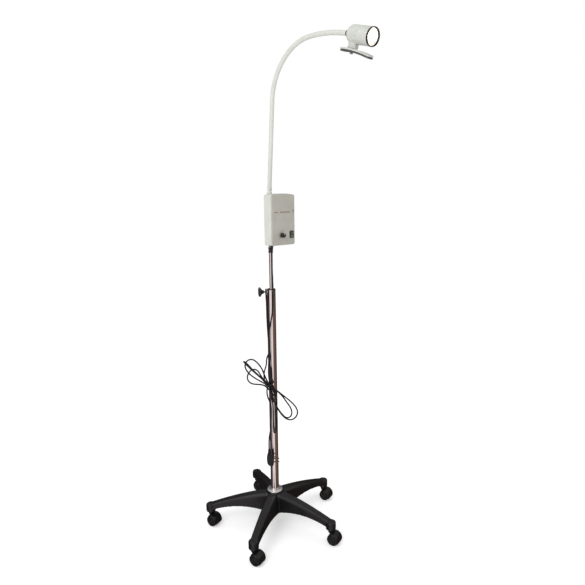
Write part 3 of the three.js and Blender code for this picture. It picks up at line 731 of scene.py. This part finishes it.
def make_collar():
    bore, low = OUTER_TUBE_R + GAP, HUB_TOP + GAP
    collar = turned([
        (bore, low), (29, low), (28.6, low + 2.2), (26, low + 3.4), (20.5, low + 4), (19, low + 5),
        (18.2, low + 8), (bore, low + 8), (bore, low + 0.5),
    ], 0.5, 96)
    piece("base_collar_ring", collar, SATIN, "stand", ("base_collar",))


make_base()
make_collar()

# ---- twin-wheel castors

WHEEL_R = 20
TRAIL = 13
CASTOR_TRAIL_AZIMUTH = -75


def arc(radius, start, end, steps):
    """Points (x, z) on an arc about the wheels' axle."""
    out = []
    for i in range(steps + 1):
        angle = math.radians(start + (end - start) * i / steps)
        out.append((radius * math.cos(angle) + TRAIL, radius * math.sin(angle) + WHEEL_R))
    return out


def castor_cover():
    """Arched cover, crowned across and lipped over the wheels, with its web, axle hub and post."""
    side = [
        (22.9, 8), (22.7, 15.2), (22.2, 18), (21.2, 19.1), (19.3, 19.2), (19.3, 18.4), (20.7, 18.1),
    ]
    across = mirrored(side, 1) + [(23, 0)] + side + [(20.9, 14.4), (20.9, 0), (20.9, -14.4)]
    front, back, steps = -24, 123, 32
    arcs = [arc(r, front, back, steps) for r, y in across]
    sections = [[(x, y, z) for (x, z), (r, y) in zip(row, across)] for row in zip(*arcs)]
    web_half = 3.8
    web = slab(arc(21.9, -20, 120, 20) + arc(3.4, 120, -20, 6), -web_half, web_half)
    hub = placed(rod(7.5, -web_half, web_half, 32), moved(TRAIL, 0, WHEEL_R) @ about("X", 90))
    post = rod(9, 39, 48, 40, 1)
    return merged(loft(sections), web, hub, post)


def castor_wheels():
    """Both wheels and the axle between them."""
    side = [
        (3, 4.4), (18.7, 4.4), (19.7, 4.9), (20, 6), (20, 15.6), (19.7, 17), (18.7, 17.8), (17.3, 18),
        (17, 17.3), (16.5, 17.1), (16, 17.8), (11.2, 17.9), (10.6, 17), (7.2, 16.6), (6.7, 17.6),
        (5.9, 18.1), (0, 18.2),
    ]
    pair = turned(mirrored(side, 1) + side, 0.3, 56, 2)
    return placed(pair, moved(TRAIL, 0, WHEEL_R) @ about("X", 90))


def castor_pin():
    """Pin between the cover and the leg, with its flange."""
    return turned([
        (0, 38.3), (5.4, 38.3), (5.4, 48.3), (8.5, 48.3), (8.5, 51.6), (5.4, 51.6), (5.4, 74.5),
        (0, 74.5),
    ], 0.5, 40)


def make_castor(n, spot):
    parts = [
        ("cover", "hood", castor_cover(), CASTOR_BLACK, "swivel", "base_nylon", 40),
        ("pin", "stem", castor_pin(), STEEL, "swivel", "steel", 35),
        ("wheel_pair", "wheels", castor_wheels(), CASTOR_BLACK, "roller", "castor_black", 35),
    ]
    for name, node, shape, material, body, slot, crease in parts:
        piece(f"castor_{name}_{n}", placed(shape, spot), material, f"castor_{body}_{n}",
              (f"castor_{node}_{n}",), crease)


def make_castors():
    for i in range(LEG_COUNT):
        angle = math.radians(FIRST_LEG + 360 * i / LEG_COUNT)
        spot = moved(CASTOR_CIRCLE * math.cos(angle), CASTOR_CIRCLE * math.sin(angle), 0)
        make_castor(i + 1, spot @ about("Z", CASTOR_TRAIL_AZIMUTH))


make_castors()

# ---- pole and clamp

OUTER_TUBE_BORE = 13.5
OUTER_TUBE_TOP = 879
INNER_TUBE_R = 5.6
INNER_TUBE_BOTTOM, INNER_TUBE_TOP = 466, 1170
BUSHING_BOTTOM = 820
CLAMP_Z, CLAMP_AZIMUTH = 872, 150
SCREW_R = 3


def make_pole():
    tube_shape = ring(OUTER_TUBE_BORE, OUTER_TUBE_R, LEG_TIP_BOTTOM, OUTER_TUBE_TOP, 128, 0.5)
    piece("pole_tube", tube_shape, CHROME, "stand", ("outer_tube",))
    bore, rim = INNER_TUBE_R + GAP, OUTER_TUBE_TOP + GAP
    bushing = turned([
        (bore, BUSHING_BOTTOM), (OUTER_TUBE_BORE - GAP, BUSHING_BOTTOM), (OUTER_TUBE_BORE - GAP, rim),
        (OUTER_TUBE_R, rim), (OUTER_TUBE_R, rim + 1.4), (OUTER_TUBE_R - 1, rim + 2.5),
        (bore + 0.8, rim + 2.5), (bore, rim + 1.6), (bore, BUSHING_BOTTOM + 1),
    ], 0.3, 96)
    piece("pole_bushing", bushing, BLACK, "stand", ("tube_bushing",))


def thread(radius, low, high, pitch=1.0, depth=0.35):
    """Profile of a round thread's crests and roots."""
    count = int((high - low) / pitch)
    out = [(0, low), (radius - depth, low)]
    for k in range(count):
        z = low + k * pitch
        out += [(radius - depth, z + 0.1 * pitch), (radius, z + 0.5 * pitch)]
    return out + [(radius - depth, high), (0, high)]


def knob_reach(angle, r, z):
    """Finger notches that deepen towards the knob's wide end."""
    notches, deepest, start, fade = 6, 0.2, 33, 5
    wide = min(max((z - start) / fade, 0), 1)
    notch = max(0.0, math.cos(notches * angle + math.pi)) ** 1.5
    return r * (1 - deepest * wide * notch)


def make_clamp():
    spot = moved(0, 0, CLAMP_Z) @ about("Z", CLAMP_AZIMUTH) @ about("Y", 90)
    bore = SCREW_R + GAP
    nut = [(bore, 15.8), (5.2, 15.8), (5.2, 21.3), (bore, 21.3), (bore, 16.4)]
    weld = [(bore, 13.4), (6.6, 13.4), (6.2, 15), (5.4, 15.9), (bore, 15.9), (bore, 14)]
    welded = merged(turned(nut, 0.3, 6), turned(weld, 0.4, 40))
    piece("clamp_nut", placed(welded, spot), STEEL, "stand", ("clamp_boss",))
    piece("clamp_bolt", placed(lathe(thread(SCREW_R, 7.2, 36), 32), spot), STEEL, "clamp",
          ("clamp_screw",), crease=80)
    bell = rounded([
        (0, 26), (5.2, 26), (5.6, 28), (6.6, 30.5), (8, 32.8), (11, 35.2), (15.4, 37.4), (16.5, 39),
        (16.5, 42.2), (15.6, 43.6), (13.6, 44.2), (9.4, 44.2), (8.8, 43.6), (0, 43.6),
    ], 0.6)
    piece("clamp_grip", placed(lathe(bell, 144, knob_reach), spot), BLACK, "clamp",
          ("clamp_knob",), crease=50)


def make_mast():
    inner = ring(INNER_TUBE_R - 1.2, INNER_TUBE_R, INNER_TUBE_BOTTOM, INNER_TUBE_TOP, 96, 0.3)
    piece("mast_tube", inner, CHROME, "mast", ("inner_tube",))
    bore = INNER_TUBE_R + GAP
    ferrule = turned([
        (bore, 1007), (7.4, 1007), (7.4, 1013), (6.5, 1013.8), (6.5, 1018.2), (7.4, 1019), (7.4, 1026),
        (bore, 1026), (bore, 1008),
    ], 0.4, 80)
    piece("mast_collar", ferrule, BLACK, "mast", ("mast_ferrule",))
    foot = turned([
        (0, INNER_TUBE_TOP + GAP), (bore, INNER_TUBE_TOP + GAP), (bore, 1162), (9, 1162), (9, 1203),
        (8.8, 1206), (8.2, 1210), (8, 1211.4), (7.4, 1212), (0, 1212),
    ], 0.4, 80)
    piece("neck_foot", foot, SHELL, "mast", ("neck_socket",))
    kept("inner_tube_guide", BLACK, 0.4)
    kept("box_bracket", SHELL, 1.0)


make_pole()
make_clamp()
make_mast()

# ---- power unit

BOX_W, BOX_H, BOX_BOTTOM = 100, 168, 1037
BOX_BACK, REAR_DEPTH, COVER_DEPTH = 30, 35.4, 4.3
BOX_WALL = 2.5
BOX_CROWN = 3
BOX_CORNER_R = 6.5
BOX_FACE = BOX_BACK + REAR_DEPTH + GAP + COVER_DEPTH
DIMMER = (-9, 1070)
ROCKER = (34, 1071)
ROCKER_TILT = 8
STRIPE_Z = 1145
PRINT_SUNK, PRINT_RAISED = 0.2, 0.35


def box_outline(inset):
    """Rounded rectangle with a gently arched top, as (x, z) points in one order for every inset."""
    half = BOX_W / 2 - inset
    low, high = inset, BOX_H - BOX_CROWN - inset
    r = max(BOX_CORNER_R - inset, 1.2)
    straight = half - r
    corners = [(straight, low + r), (straight, high - r), (-straight, high - r), (-straight, low + r)]
    corner_steps, arch_steps = 8, 16
    out = []
    for k, (x, z) in enumerate(corners):
        for i in range(corner_steps + 1):
            angle = math.radians(90 * (k - 1) + 90 * i / corner_steps)
            out.append((x + r * math.cos(angle), z + r * math.sin(angle)))
        if k == 1:
            shares = [i / arch_steps for i in range(1, arch_steps)]
            out += [(straight * (1 - 2 * t), high + 4 * BOX_CROWN * t * (1 - t)) for t in shares]
    return [(x, z + BOX_BOTTOM) for x, z in out]


def box_section(inset, depth):
    return [(x, -depth, z) for x, z in box_outline(inset)]


def box_shell(open_depth, face_depth, edge):
    """Half of the housing: open at one depth and closed, with a rounded edge, at the other."""
    way = 1 if face_depth > open_depth else -1
    steps = 6
    outside = [box_section(0.5, open_depth), box_section(0, open_depth + way * 0.5)]
    for i in range(steps + 1):
        angle = math.pi / 2 * i / steps
        inset = edge * (1 - math.cos(angle))
        outside.append(box_section(inset, face_depth - way * edge * (1 - math.sin(angle))))
    outside += [box_section(inset, face_depth) for inset in (9, 18, 30, 42)]
    floor = face_depth - way * BOX_WALL
    steps_in = [(BOX_WALL + 12, floor), (BOX_WALL, floor), (BOX_WALL, open_depth)]
    return loft([box_section(*step) for step in steps_in] + outside)


def printed(*bars):
    """Thin bars printed on the front of the power unit, each (x, z, width, height, degrees)."""
    shapes = []
    for x, z, width, height, degrees in bars:
        turn = math.radians(degrees)
        c, s = math.cos(turn), math.sin(turn)
        corners = rectangle(width, height)
        outline = [(x + c * a - s * b, z + s * a + c * b) for a, b in corners]
        shapes.append(slab(outline, BOX_FACE - PRINT_SUNK, BOX_FACE + PRINT_RAISED))
    return merged(*shapes)


def make_print():
    stripe = [(-32, STRIPE_Z, 13, 3.2, 0), (6, STRIPE_Z, 43, 3.2, 0)]
    mark = (42.5, STRIPE_Z + 3, 4, 9, 0)
    dashes = [(ROCKER[0], ROCKER[1] + side * 15, 3.2, 1.2, 0) for side in (-1, 1)]
    piece("box_stripe", printed(*stripe, mark, *dashes), RED_INK, "mast")
    scale_r, first, span, count = 13, 225, 270, 9
    ticks = []
    for i in range(count):
        angle = first - span * i / (count - 1)
        x = DIMMER[0] + scale_r * math.cos(math.radians(angle))
        z = DIMMER[1] + scale_r * math.sin(math.radians(angle))
        ticks.append((x, z, 3, 0.7, angle))
    piece("dimmer_scale", printed(*ticks), DARK_INK, "mast")


def make_box_screws():
    profile = [
        (0, 0), (1.6, 0), (2.9, -0.1), (3.2, 0.4), (3.2, 0.9), (2.4, 1.7), (1.2, 2.0), (0, 2.0),
    ]
    head = placed(lathe(profile, 24), about("X", -90))
    places = [(x, z) for z in (1060, 1180) for x in (-40, 40)]
    screws = [placed(head, moved(x, -BOX_BACK, z)) for x, z in places]
    piece("box_screws", merged(*screws), STEEL, "mast")


def make_box():
    rear = box_shell(BOX_BACK + REAR_DEPTH, BOX_BACK, 1.6)
    piece("box_back_shell", rear, SHELL, "mast", ("box_rear_shell",), crease=32)
    # The front cover's darker paint is painted shade, not a second paint colour.
    front = box_shell(BOX_BACK + REAR_DEPTH + GAP, BOX_FACE, 3.4)
    piece("box_front_shell", front, SHADED_COVER_PAINT, "mast", ("box_front_cover",), crease=32)
    make_print()
    make_box_screws()
    kept("transformer", CORE, 0.8)
    kept("circuit_board", BOARD, 0.2)
    kept("dimmer_pot", STEEL, 0.3)


def knurl(angle, r, z):
    """Fine lengthwise ribs round the dimmer knob's grip."""
    if not BOX_FACE + 3.2 < z < BOX_FACE + 12.6:
        return r
    ribs, depth = 24, 0.045
    return r * (1 - depth * (0.5 + 0.5 * math.cos(ribs * angle)))


def make_dimmer():
    foot = BOX_FACE + 0.8
    spot = moved(DIMMER[0], 0, DIMMER[1])
    cap = rounded([
        (3.3, foot), (8.2, foot), (8.2, foot + 1.6), (7.5, foot + 2.4), (7.3, foot + 3),
        (7.1, foot + 11.6), (6.6, foot + 12.6), (5.4, foot + 13), (0.01, foot + 13),
        (0.01, foot + 8.6), (3.3, foot + 8.6), (3.3, foot + 1),
    ], 0.35)
    piece("dimmer_cap", placed(lathe(cap, 192, knurl), spot @ about("X", 90)), BLACK, "dimmer",
          ("dimmer_knob",), crease=50)
    line = placed(block((0.9, 0.6, 5.4), (0, -foot - 13.1, 4)), spot)
    piece("dimmer_pointer", line, WHITE_INK, "dimmer")


def make_rocker():
    x, z = ROCKER
    rim = -BOX_FACE - 1.3
    body = block((13, 20, 19), (x, -BOX_FACE + 11, z))
    sides = [block((2.6, 2.4, 23), (x + side * 6.95, rim, z)) for side in (-1, 1)]
    sides += [block((16.5, 2.4, 2.8), (x, rim, z + side * 10.1)) for side in (1, -1)]
    bezel = piece("rocker_bezel", merged(body, *sides), BLACK, "mast",
                  ("rocker_frame",))
    bevelled(bezel, 0.5)
    spot = moved(x, -BOX_FACE + 1.5, z) @ about("X", ROCKER_TILT)
    half = [(-3.9, 3.6), (-4.6, 7.6), (-4.2, 8.2), (2.5, 5.5)]
    profile = mirrored(half, 1) + [(-3.5, 0)] + half
    paddle = placed(loft([[(side, y, h) for y, h in profile] for side in (-5, 5)]), spot)
    bevelled(piece("rocker_paddle", paddle, SWITCH, "rocker", ("rocker_button",)), 0.4)
    dash = block((0.8, 0.5, 3), (0, -4.25, 5))
    circle = placed(ring(1.1, 1.8, -0.25, 0.25, 28, 0.1), moved(0, -4.15, -5) @ about("X", 90))
    piece("rocker_symbols", placed(merged(dash, circle), spot), WHITE_INK, "rocker")


CORD_EXIT = (-26, -38, 1010)


def make_gland():
    """Ribbed cord outlet, tapering down to the cord."""
    x, y, tip = CORD_EXIT
    top = BOX_BOTTOM - GAP
    rings, ring_pitch, groove = 6, 19 / 6, 0.7
    profile = [(0, tip), (3.1, tip), (3.3, tip + 1.4)]
    for k in range(rings):
        z = tip + 2 + ring_pitch * k
        r = 3.5 + 1.7 * k / rings
        profile += [(r, z), (r, z + 1.7), (r - groove, z + 2.0), (r - groove, z + 2.9)]
    profile += [
        (5.4, top - 4), (7.6, top - 3.4), (8, top - 2.8), (8, top), (5, top), (5, top + 6.6),
        (0, top + 6.6),
    ]
    boot = turned(profile, 0.25, 40, 2)
    piece("gland_boot", placed(boot, moved(x, y, 0)), RUBBER, "mast", ("cord_gland",))


make_box()
make_dimmer()
make_rocker()
make_gland()

# ---- flexible neck

NECK_R = 7
NECK_START = 1213
NECK_LEAN = 4.5
NECK_STRAIGHT = 286
NECK_TIGHT_R, NECK_WIDE_R = 172, 510
HEAD_TILT = 17
NECK_JOINTS = [140, 300, 420, 540]
TIGHT_TURN = math.radians(90 - NECK_LEAN)
TIGHT_LENGTH = NECK_TIGHT_R * TIGHT_TURN
NECK_LENGTH = NECK_STRAIGHT + TIGHT_LENGTH + NECK_WIDE_R * math.radians(HEAD_TILT)
NECK_STEP = 4


def neck_at(s):
    """Point on the neck's centre line, a length s above its foot: straight, then two arcs."""
    straight = min(s, NECK_STRAIGHT)
    tight = min(max(s - NECK_STRAIGHT, 0), TIGHT_LENGTH) / NECK_TIGHT_R
    wide = max(s - NECK_STRAIGHT - TIGHT_LENGTH, 0) / NECK_WIDE_R
    turn = TIGHT_TURN
    reach = (straight * math.cos(turn) + NECK_TIGHT_R * (math.sin(turn) - math.sin(turn - tight))
             + NECK_WIDE_R * math.sin(wide))
    rise = (straight * math.sin(turn) + NECK_TIGHT_R * (math.cos(turn - tight) - math.cos(turn))
            - NECK_WIDE_R * (1 - math.cos(wide)))
    return 0.0, -reach, NECK_START + rise


def make_neck():
    middles = [(a + b) / 2 for a, b in zip([0, *NECK_JOINTS], NECK_JOINTS)]
    breaks = [0, *middles, NECK_LENGTH]
    for k in range(len(breaks) - 1):
        start, end = breaks[k], breaks[k + 1]
        count = round((end - start) / NECK_STEP)
        line = [neck_at(start + (end - start) * i / count) for i in range(count + 1)]
        body = None if k else "neck_1"
        made = piece(f"neck_sleeve_{k + 1}", tube(line, NECK_R, 40), SLEEVE, body,
                     (f"neck_segment_{k + 1}",), crease=60)
        if k:
            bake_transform(made)
    lean = moved(0, 0, NECK_START) @ about("X", NECK_LEAN)
    ferrule = ring(NECK_R - 0.4, NECK_R + 0.8, 1.2, 13, 64, 0.5)
    piece("neck_base_ring", placed(ferrule, lean), SHELL, "neck_1")


make_neck()

# ---- lamp head
# Everything on the head is made about +Z, which is then aimed along the end of the neck.

HEAD_R = 24.5
HEAD_LENGTH = 98
HEAD_MOUTH = 92
HEAD_WALL = 1.6
HEAD_SPOT = moved(*neck_at(NECK_LENGTH)) @ about("X", 90 + HEAD_TILT)
VENT_COUNT = 12
VENT_MIDDLE, VENT_HALF_LENGTH, VENT_DEPTH = 50, 8, 0.8
GROOVES = (66, 71, 76, 81)
FACETS = 26

HEAD_PAINT = finish("paint_head", (0.50, 0.515, 0.475), (0.56, 0.575, 0.53), rough=(0.32, 0.45), blotch=30,
                    grain=800, bump=0.06, Coat_Weight=0.15, Coat_Roughness=0.25)


def vent_reach(angle, r, z):
    """Shallow slots sunk into the middle of the housing's side."""
    outside = r > HEAD_R - HEAD_WALL / 2
    turn = (angle / (2 * math.pi) * VENT_COUNT) % 1
    sunk = abs(turn - 0.5) < 0.16 and abs(z - VENT_MIDDLE) < VENT_HALF_LENGTH
    return r - VENT_DEPTH if outside and sunk else r


def housing():
    """Hollow body with a domed back, shallow grooves near the front and a rounded mouth."""
    dome = [
        (0, 8), (7.6, 8), (9.2, 8.5), (12.4, 9.8), (15.2, 11.6), (18.2, 14.4), (20.6, 17.4),
        (22.4, 20.4), (23.6, 23.6), (24.2, 26.2), (HEAD_R, 29),
    ]
    side = [(HEAD_R, z) for z in range(32, 64)]
    for z in GROOVES:
        side += [(HEAD_R, z), (HEAD_R - 0.4, z + 0.5), (HEAD_R - 0.4, z + 1.1), (HEAD_R, z + 1.6)]
    mouth = [(HEAD_R, HEAD_MOUTH - 5), (HEAD_R, HEAD_MOUTH - 0.8), (HEAD_R - 0.5, HEAD_MOUTH)]
    bore = HEAD_R - HEAD_WALL
    inside = [
        (bore, HEAD_MOUTH), (bore, 29), (21.2, 22.6), (19, 17.8), (13.2, 13), (9, 10.4), (0, 10.4),
    ]
    return lathe(dome + side + mouth + inside, 216, vent_reach)


def faceted_bowl():
    """Reflector bowl whose inside is a grid of flat facets."""
    rows, foot, height = 9, 56.5, 34
    inside = []
    for k in range(rows + 1):
        t = k / rows
        inside.append((6.6 + 14.8 * t**0.62, foot + height * t**1.5))
    outside = [(22.3, 91), (21.8, 84), (20.2, 75), (17.7, 65), (8.2, 51), (6.4, 47), (0, 47)]
    return lathe(list(reversed([(0, foot), *inside, *outside])), FACETS)


def head_piece(name, shape, material, node, crease=35):
    """A piece on the last length of the neck, from a shape made about +Z."""
    return piece(name, placed(shape, HEAD_SPOT), material, "neck_5", (node,), crease)


def make_spot():
    nut = turned([
        (0, 0.4), (7.6, 0.4), (8.3, 1.2), (8.4, 2), (8.4, 5.4), (8, 6.6), (7.5, 7.7), (0, 7.7),
    ], 0.4)
    head_piece("neck_nut", nut, BLACK, "neck_end_nut")
    head_piece("spot_body", housing(), HEAD_PAINT, "head_housing", 40)
    seat = HEAD_MOUTH + GAP
    rim = turned([
        (21.3, seat), (24.9, seat), (24.9, HEAD_LENGTH - 1), (24.4, HEAD_LENGTH), (23.5, HEAD_LENGTH),
        (23.2, HEAD_LENGTH - 0.8), (23.2, seat + 1.2), (21.3, seat + 1.2), (21.3, seat + 0.5),
    ], 0.35, 96)
    head_piece("spot_rim", rim, BLACK, "front_ring")
    pane = turned([
        (0, seat + 1.5), (22.8, seat + 1.5), (22.8, seat + 3.4), (21.6, seat + 3.9), (0, seat + 4.3),
    ], 0.4, 96)
    head_piece("spot_pane", pane, GLASS, "front_glass")
    # The bowl glows with painted light.
    bowl = head_piece("spot_bowl", faceted_bowl(), REFLECTOR_PAINTED_GLOW, "lamp_reflector")
    bowl.data.shade_flat()
    capsule = [(0, 56), (4, 56), (4.4, 60), (4.6, 65), (4.2, 70), (2.6, 73.4), (0, 74.4)]
    head_piece("spot_capsule", turned(capsule, 1.0, 32), FILAMENT, "lamp_capsule")
    kept("lamp_holder", CERAMIC, 0.6)


def grip_crown(z):
    """Distance of the grip bar's upper face below the head's axis."""
    middle, nearest, bow = 15.7, 36, 0.0012
    return nearest + bow * (z - middle) ** 2


def grip_bar(top_depth, bottom_depth, half_width, edge):
    """Arched bar of the hand grip, rounded at its edges and ends."""
    start, end, count = -6, 105, 40
    middle, half_thick = (top_depth + bottom_depth) / 2, (bottom_depth - top_depth) / 2
    corners = ((1, 1), (-1, 1), (-1, -1), (1, -1))
    corner_steps = 4
    sections = []
    for i in range(count + 1):
        z = start + (end - start) * i / count
        near_end = min(z - start, end - z)
        taper = math.sqrt(max(0.0, 1 - (1 - min(near_end / 11, 1)) ** 2))
        half = max(half_width * (0.45 + 0.55 * taper), 1)
        thick = half_thick * (0.55 + 0.45 * min(near_end / 2.5, 1))
        r = min(edge, thick * 0.95)
        depth = grip_crown(z) + middle
        loop = []
        for quarter, (sx, sy) in enumerate(corners):
            for k in range(corner_steps + 1):
                turn = math.radians(90 * quarter + 90 * k / corner_steps)
                x = sx * (half - r) + r * math.cos(turn)
                y = -depth + sy * (thick - r) + r * math.sin(turn)
                loop.append((x, y, z))
        sections.append(loop)
    return loft(sections)


def grip_arm():
    """Stem between the head and the bar: a waisted block, curved to the housing at its top."""
    levels = [
        (-21, 20, 46), (-24.5, 20, 46), (-27, 19.5, 46), (-30, 18.6, 46.4), (-33, 16.6, 47.4),
        (-36, 14.4, 48.6),
    ]
    sides, squareness = 24, 0.45
    sections = []
    for depth, low, high in levels:
        half = 12 - 0.35 * (abs(depth) - 22)
        loop = []
        for k in range(sides):
            turn = 2 * math.pi * k / sides
            c, s = math.cos(turn), math.sin(turn)
            x = half * math.copysign(abs(c) ** squareness, c)
            z = (low + high) / 2 + (high - low) / 2 * math.copysign(abs(s) ** squareness, s)
            loop.append((x, depth, z))
        sections.append(loop)
    return loft(sections)


def make_grip():
    head_piece("grip_arm", grip_arm(), HEAD_PAINT, "grip_bracket", 50)
    head_piece("grip_bar", grip_bar(0, 4.6, 14, 1.6), HEAD_PAINT, "grip_plate", 50)
    head_piece("grip_cushion", grip_bar(4.9, 9.4, 13, 2.0), GRIP_GREY, "grip_pad", 50)
    screw = turned([
        (0, 29), (2, 29), (2, 46.4), (4.6, 46.4), (4.6, 48.4), (3.8, 49.6), (2.2, 50), (2.0, 49), (0, 49),
    ], 0.3, 40)
    bolt = placed(screw, moved(0, 0, 31) @ about("X", 90))
    head_piece("grip_bolt", bolt, STEEL, "grip_screw")


make_spot()
make_grip()

# ---- floor and light


def make_floor():
    side, glow = 10, 0.34
    mesh = bpy.data.meshes.new("floor")
    mesh.from_pydata([(x, y, 0) for x, y in rectangle(side, side)], [], [(0, 1, 2, 3)])
    material, tree, shader = nodes_of("floor_pale")
    feed(tree, shader.inputs["Base Color"], (*grey(0.86), 1))
    feed(tree, shader.inputs["Roughness"], 0.9)
    feed(tree, shader.inputs["Emission Color"], (*grey(1), 1))
    feed(tree, shader.inputs["Emission Strength"], glow)
    mesh.materials.append(material)
    floor = bpy.data.objects.new("floor", mesh)
    scene.collection.objects.link(floor)
    floor.visible_glossy = False


def make_light(name, place, size, power, aim=(0, 0, 0.9)):
    """A square soft light of a size in metres and a power in watts, facing a point."""
    data = bpy.data.lights.new(name, "AREA")
    data.size = size
    data.energy = power
    light = bpy.data.objects.new(name, data)
    scene.collection.objects.link(light)
    light.location = place
    light.rotation_mode = "QUATERNION"
    light.rotation_quaternion = (Vector(aim) - Vector(place)).to_track_quat("-Z", "Y")


def mixed(tree, share, first, second):
    """The first colour, and as the share goes to 1 the second."""
    node = tree.nodes.new("ShaderNodeMix")
    node.data_type = "RGBA"
    feed(tree, node.inputs["Factor"], share)
    feed(tree, node.inputs[6], first)
    feed(tree, node.inputs[7], second)
    return node.outputs[2]


def make_surroundings():
    """White for the camera and grey for dull surfaces. What shines sees a bright window, a brown
    room and a pale ceiling."""
    world = bpy.data.worlds.new("studio")
    scene.world = world
    world.use_nodes = True
    tree = world.node_tree
    place = new_node(tree, "TexCoord").outputs["Generated"]
    parts = new_node(tree, "SeparateXYZ", Vector=place).outputs
    turn = tree.nodes.new("ShaderNodeMath")
    turn.operation = "ARCTAN2"
    feed(tree, turn.inputs[0], parts["Y"])
    feed(tree, turn.inputs[1], parts["X"])
    window, corner = (0.95, 0.84, 0.86), (0.20, 0.13, 0.10)
    colours_by_azimuth = [
        (-180, window), (-112, window), (-104, corner), (-60, (0.15, 0.095, 0.065)),
        (0, (0.07, 0.04, 0.03)), (50, (0.03, 0.02, 0.02)), (130, (0.06, 0.045, 0.05)),
        (176, (0.10, 0.07, 0.08)), (180, window),
    ]
    azimuth = between(tree, turn.outputs[0], 0, 1, -math.pi, math.pi)
    stops = [((degrees + 180) / 360, colour) for degrees, colour in colours_by_azimuth]
    room = ramp(tree, azimuth, stops)
    height = between(tree, parts["Z"], 0, 1, 0.35, 0.8)
    reflected = mixed(tree, height, room, (*grey(0.8), 1))
    ray = new_node(tree, "LightPath").outputs
    seen = mixed(tree, ray["Is Glossy Ray"], (*grey(0.78), 1), reflected)
    colour = mixed(tree, ray["Is Camera Ray"], seen, (*grey(1), 1))
    feed(tree, tree.nodes["Background"].inputs["Color"], colour)


make_floor()
make_surroundings()
make_light("key", (-2.4, -0.6, 2.6), 1.6, 38)
make_light("fill", (1.8, -2.2, 1.8), 1.8, 8)
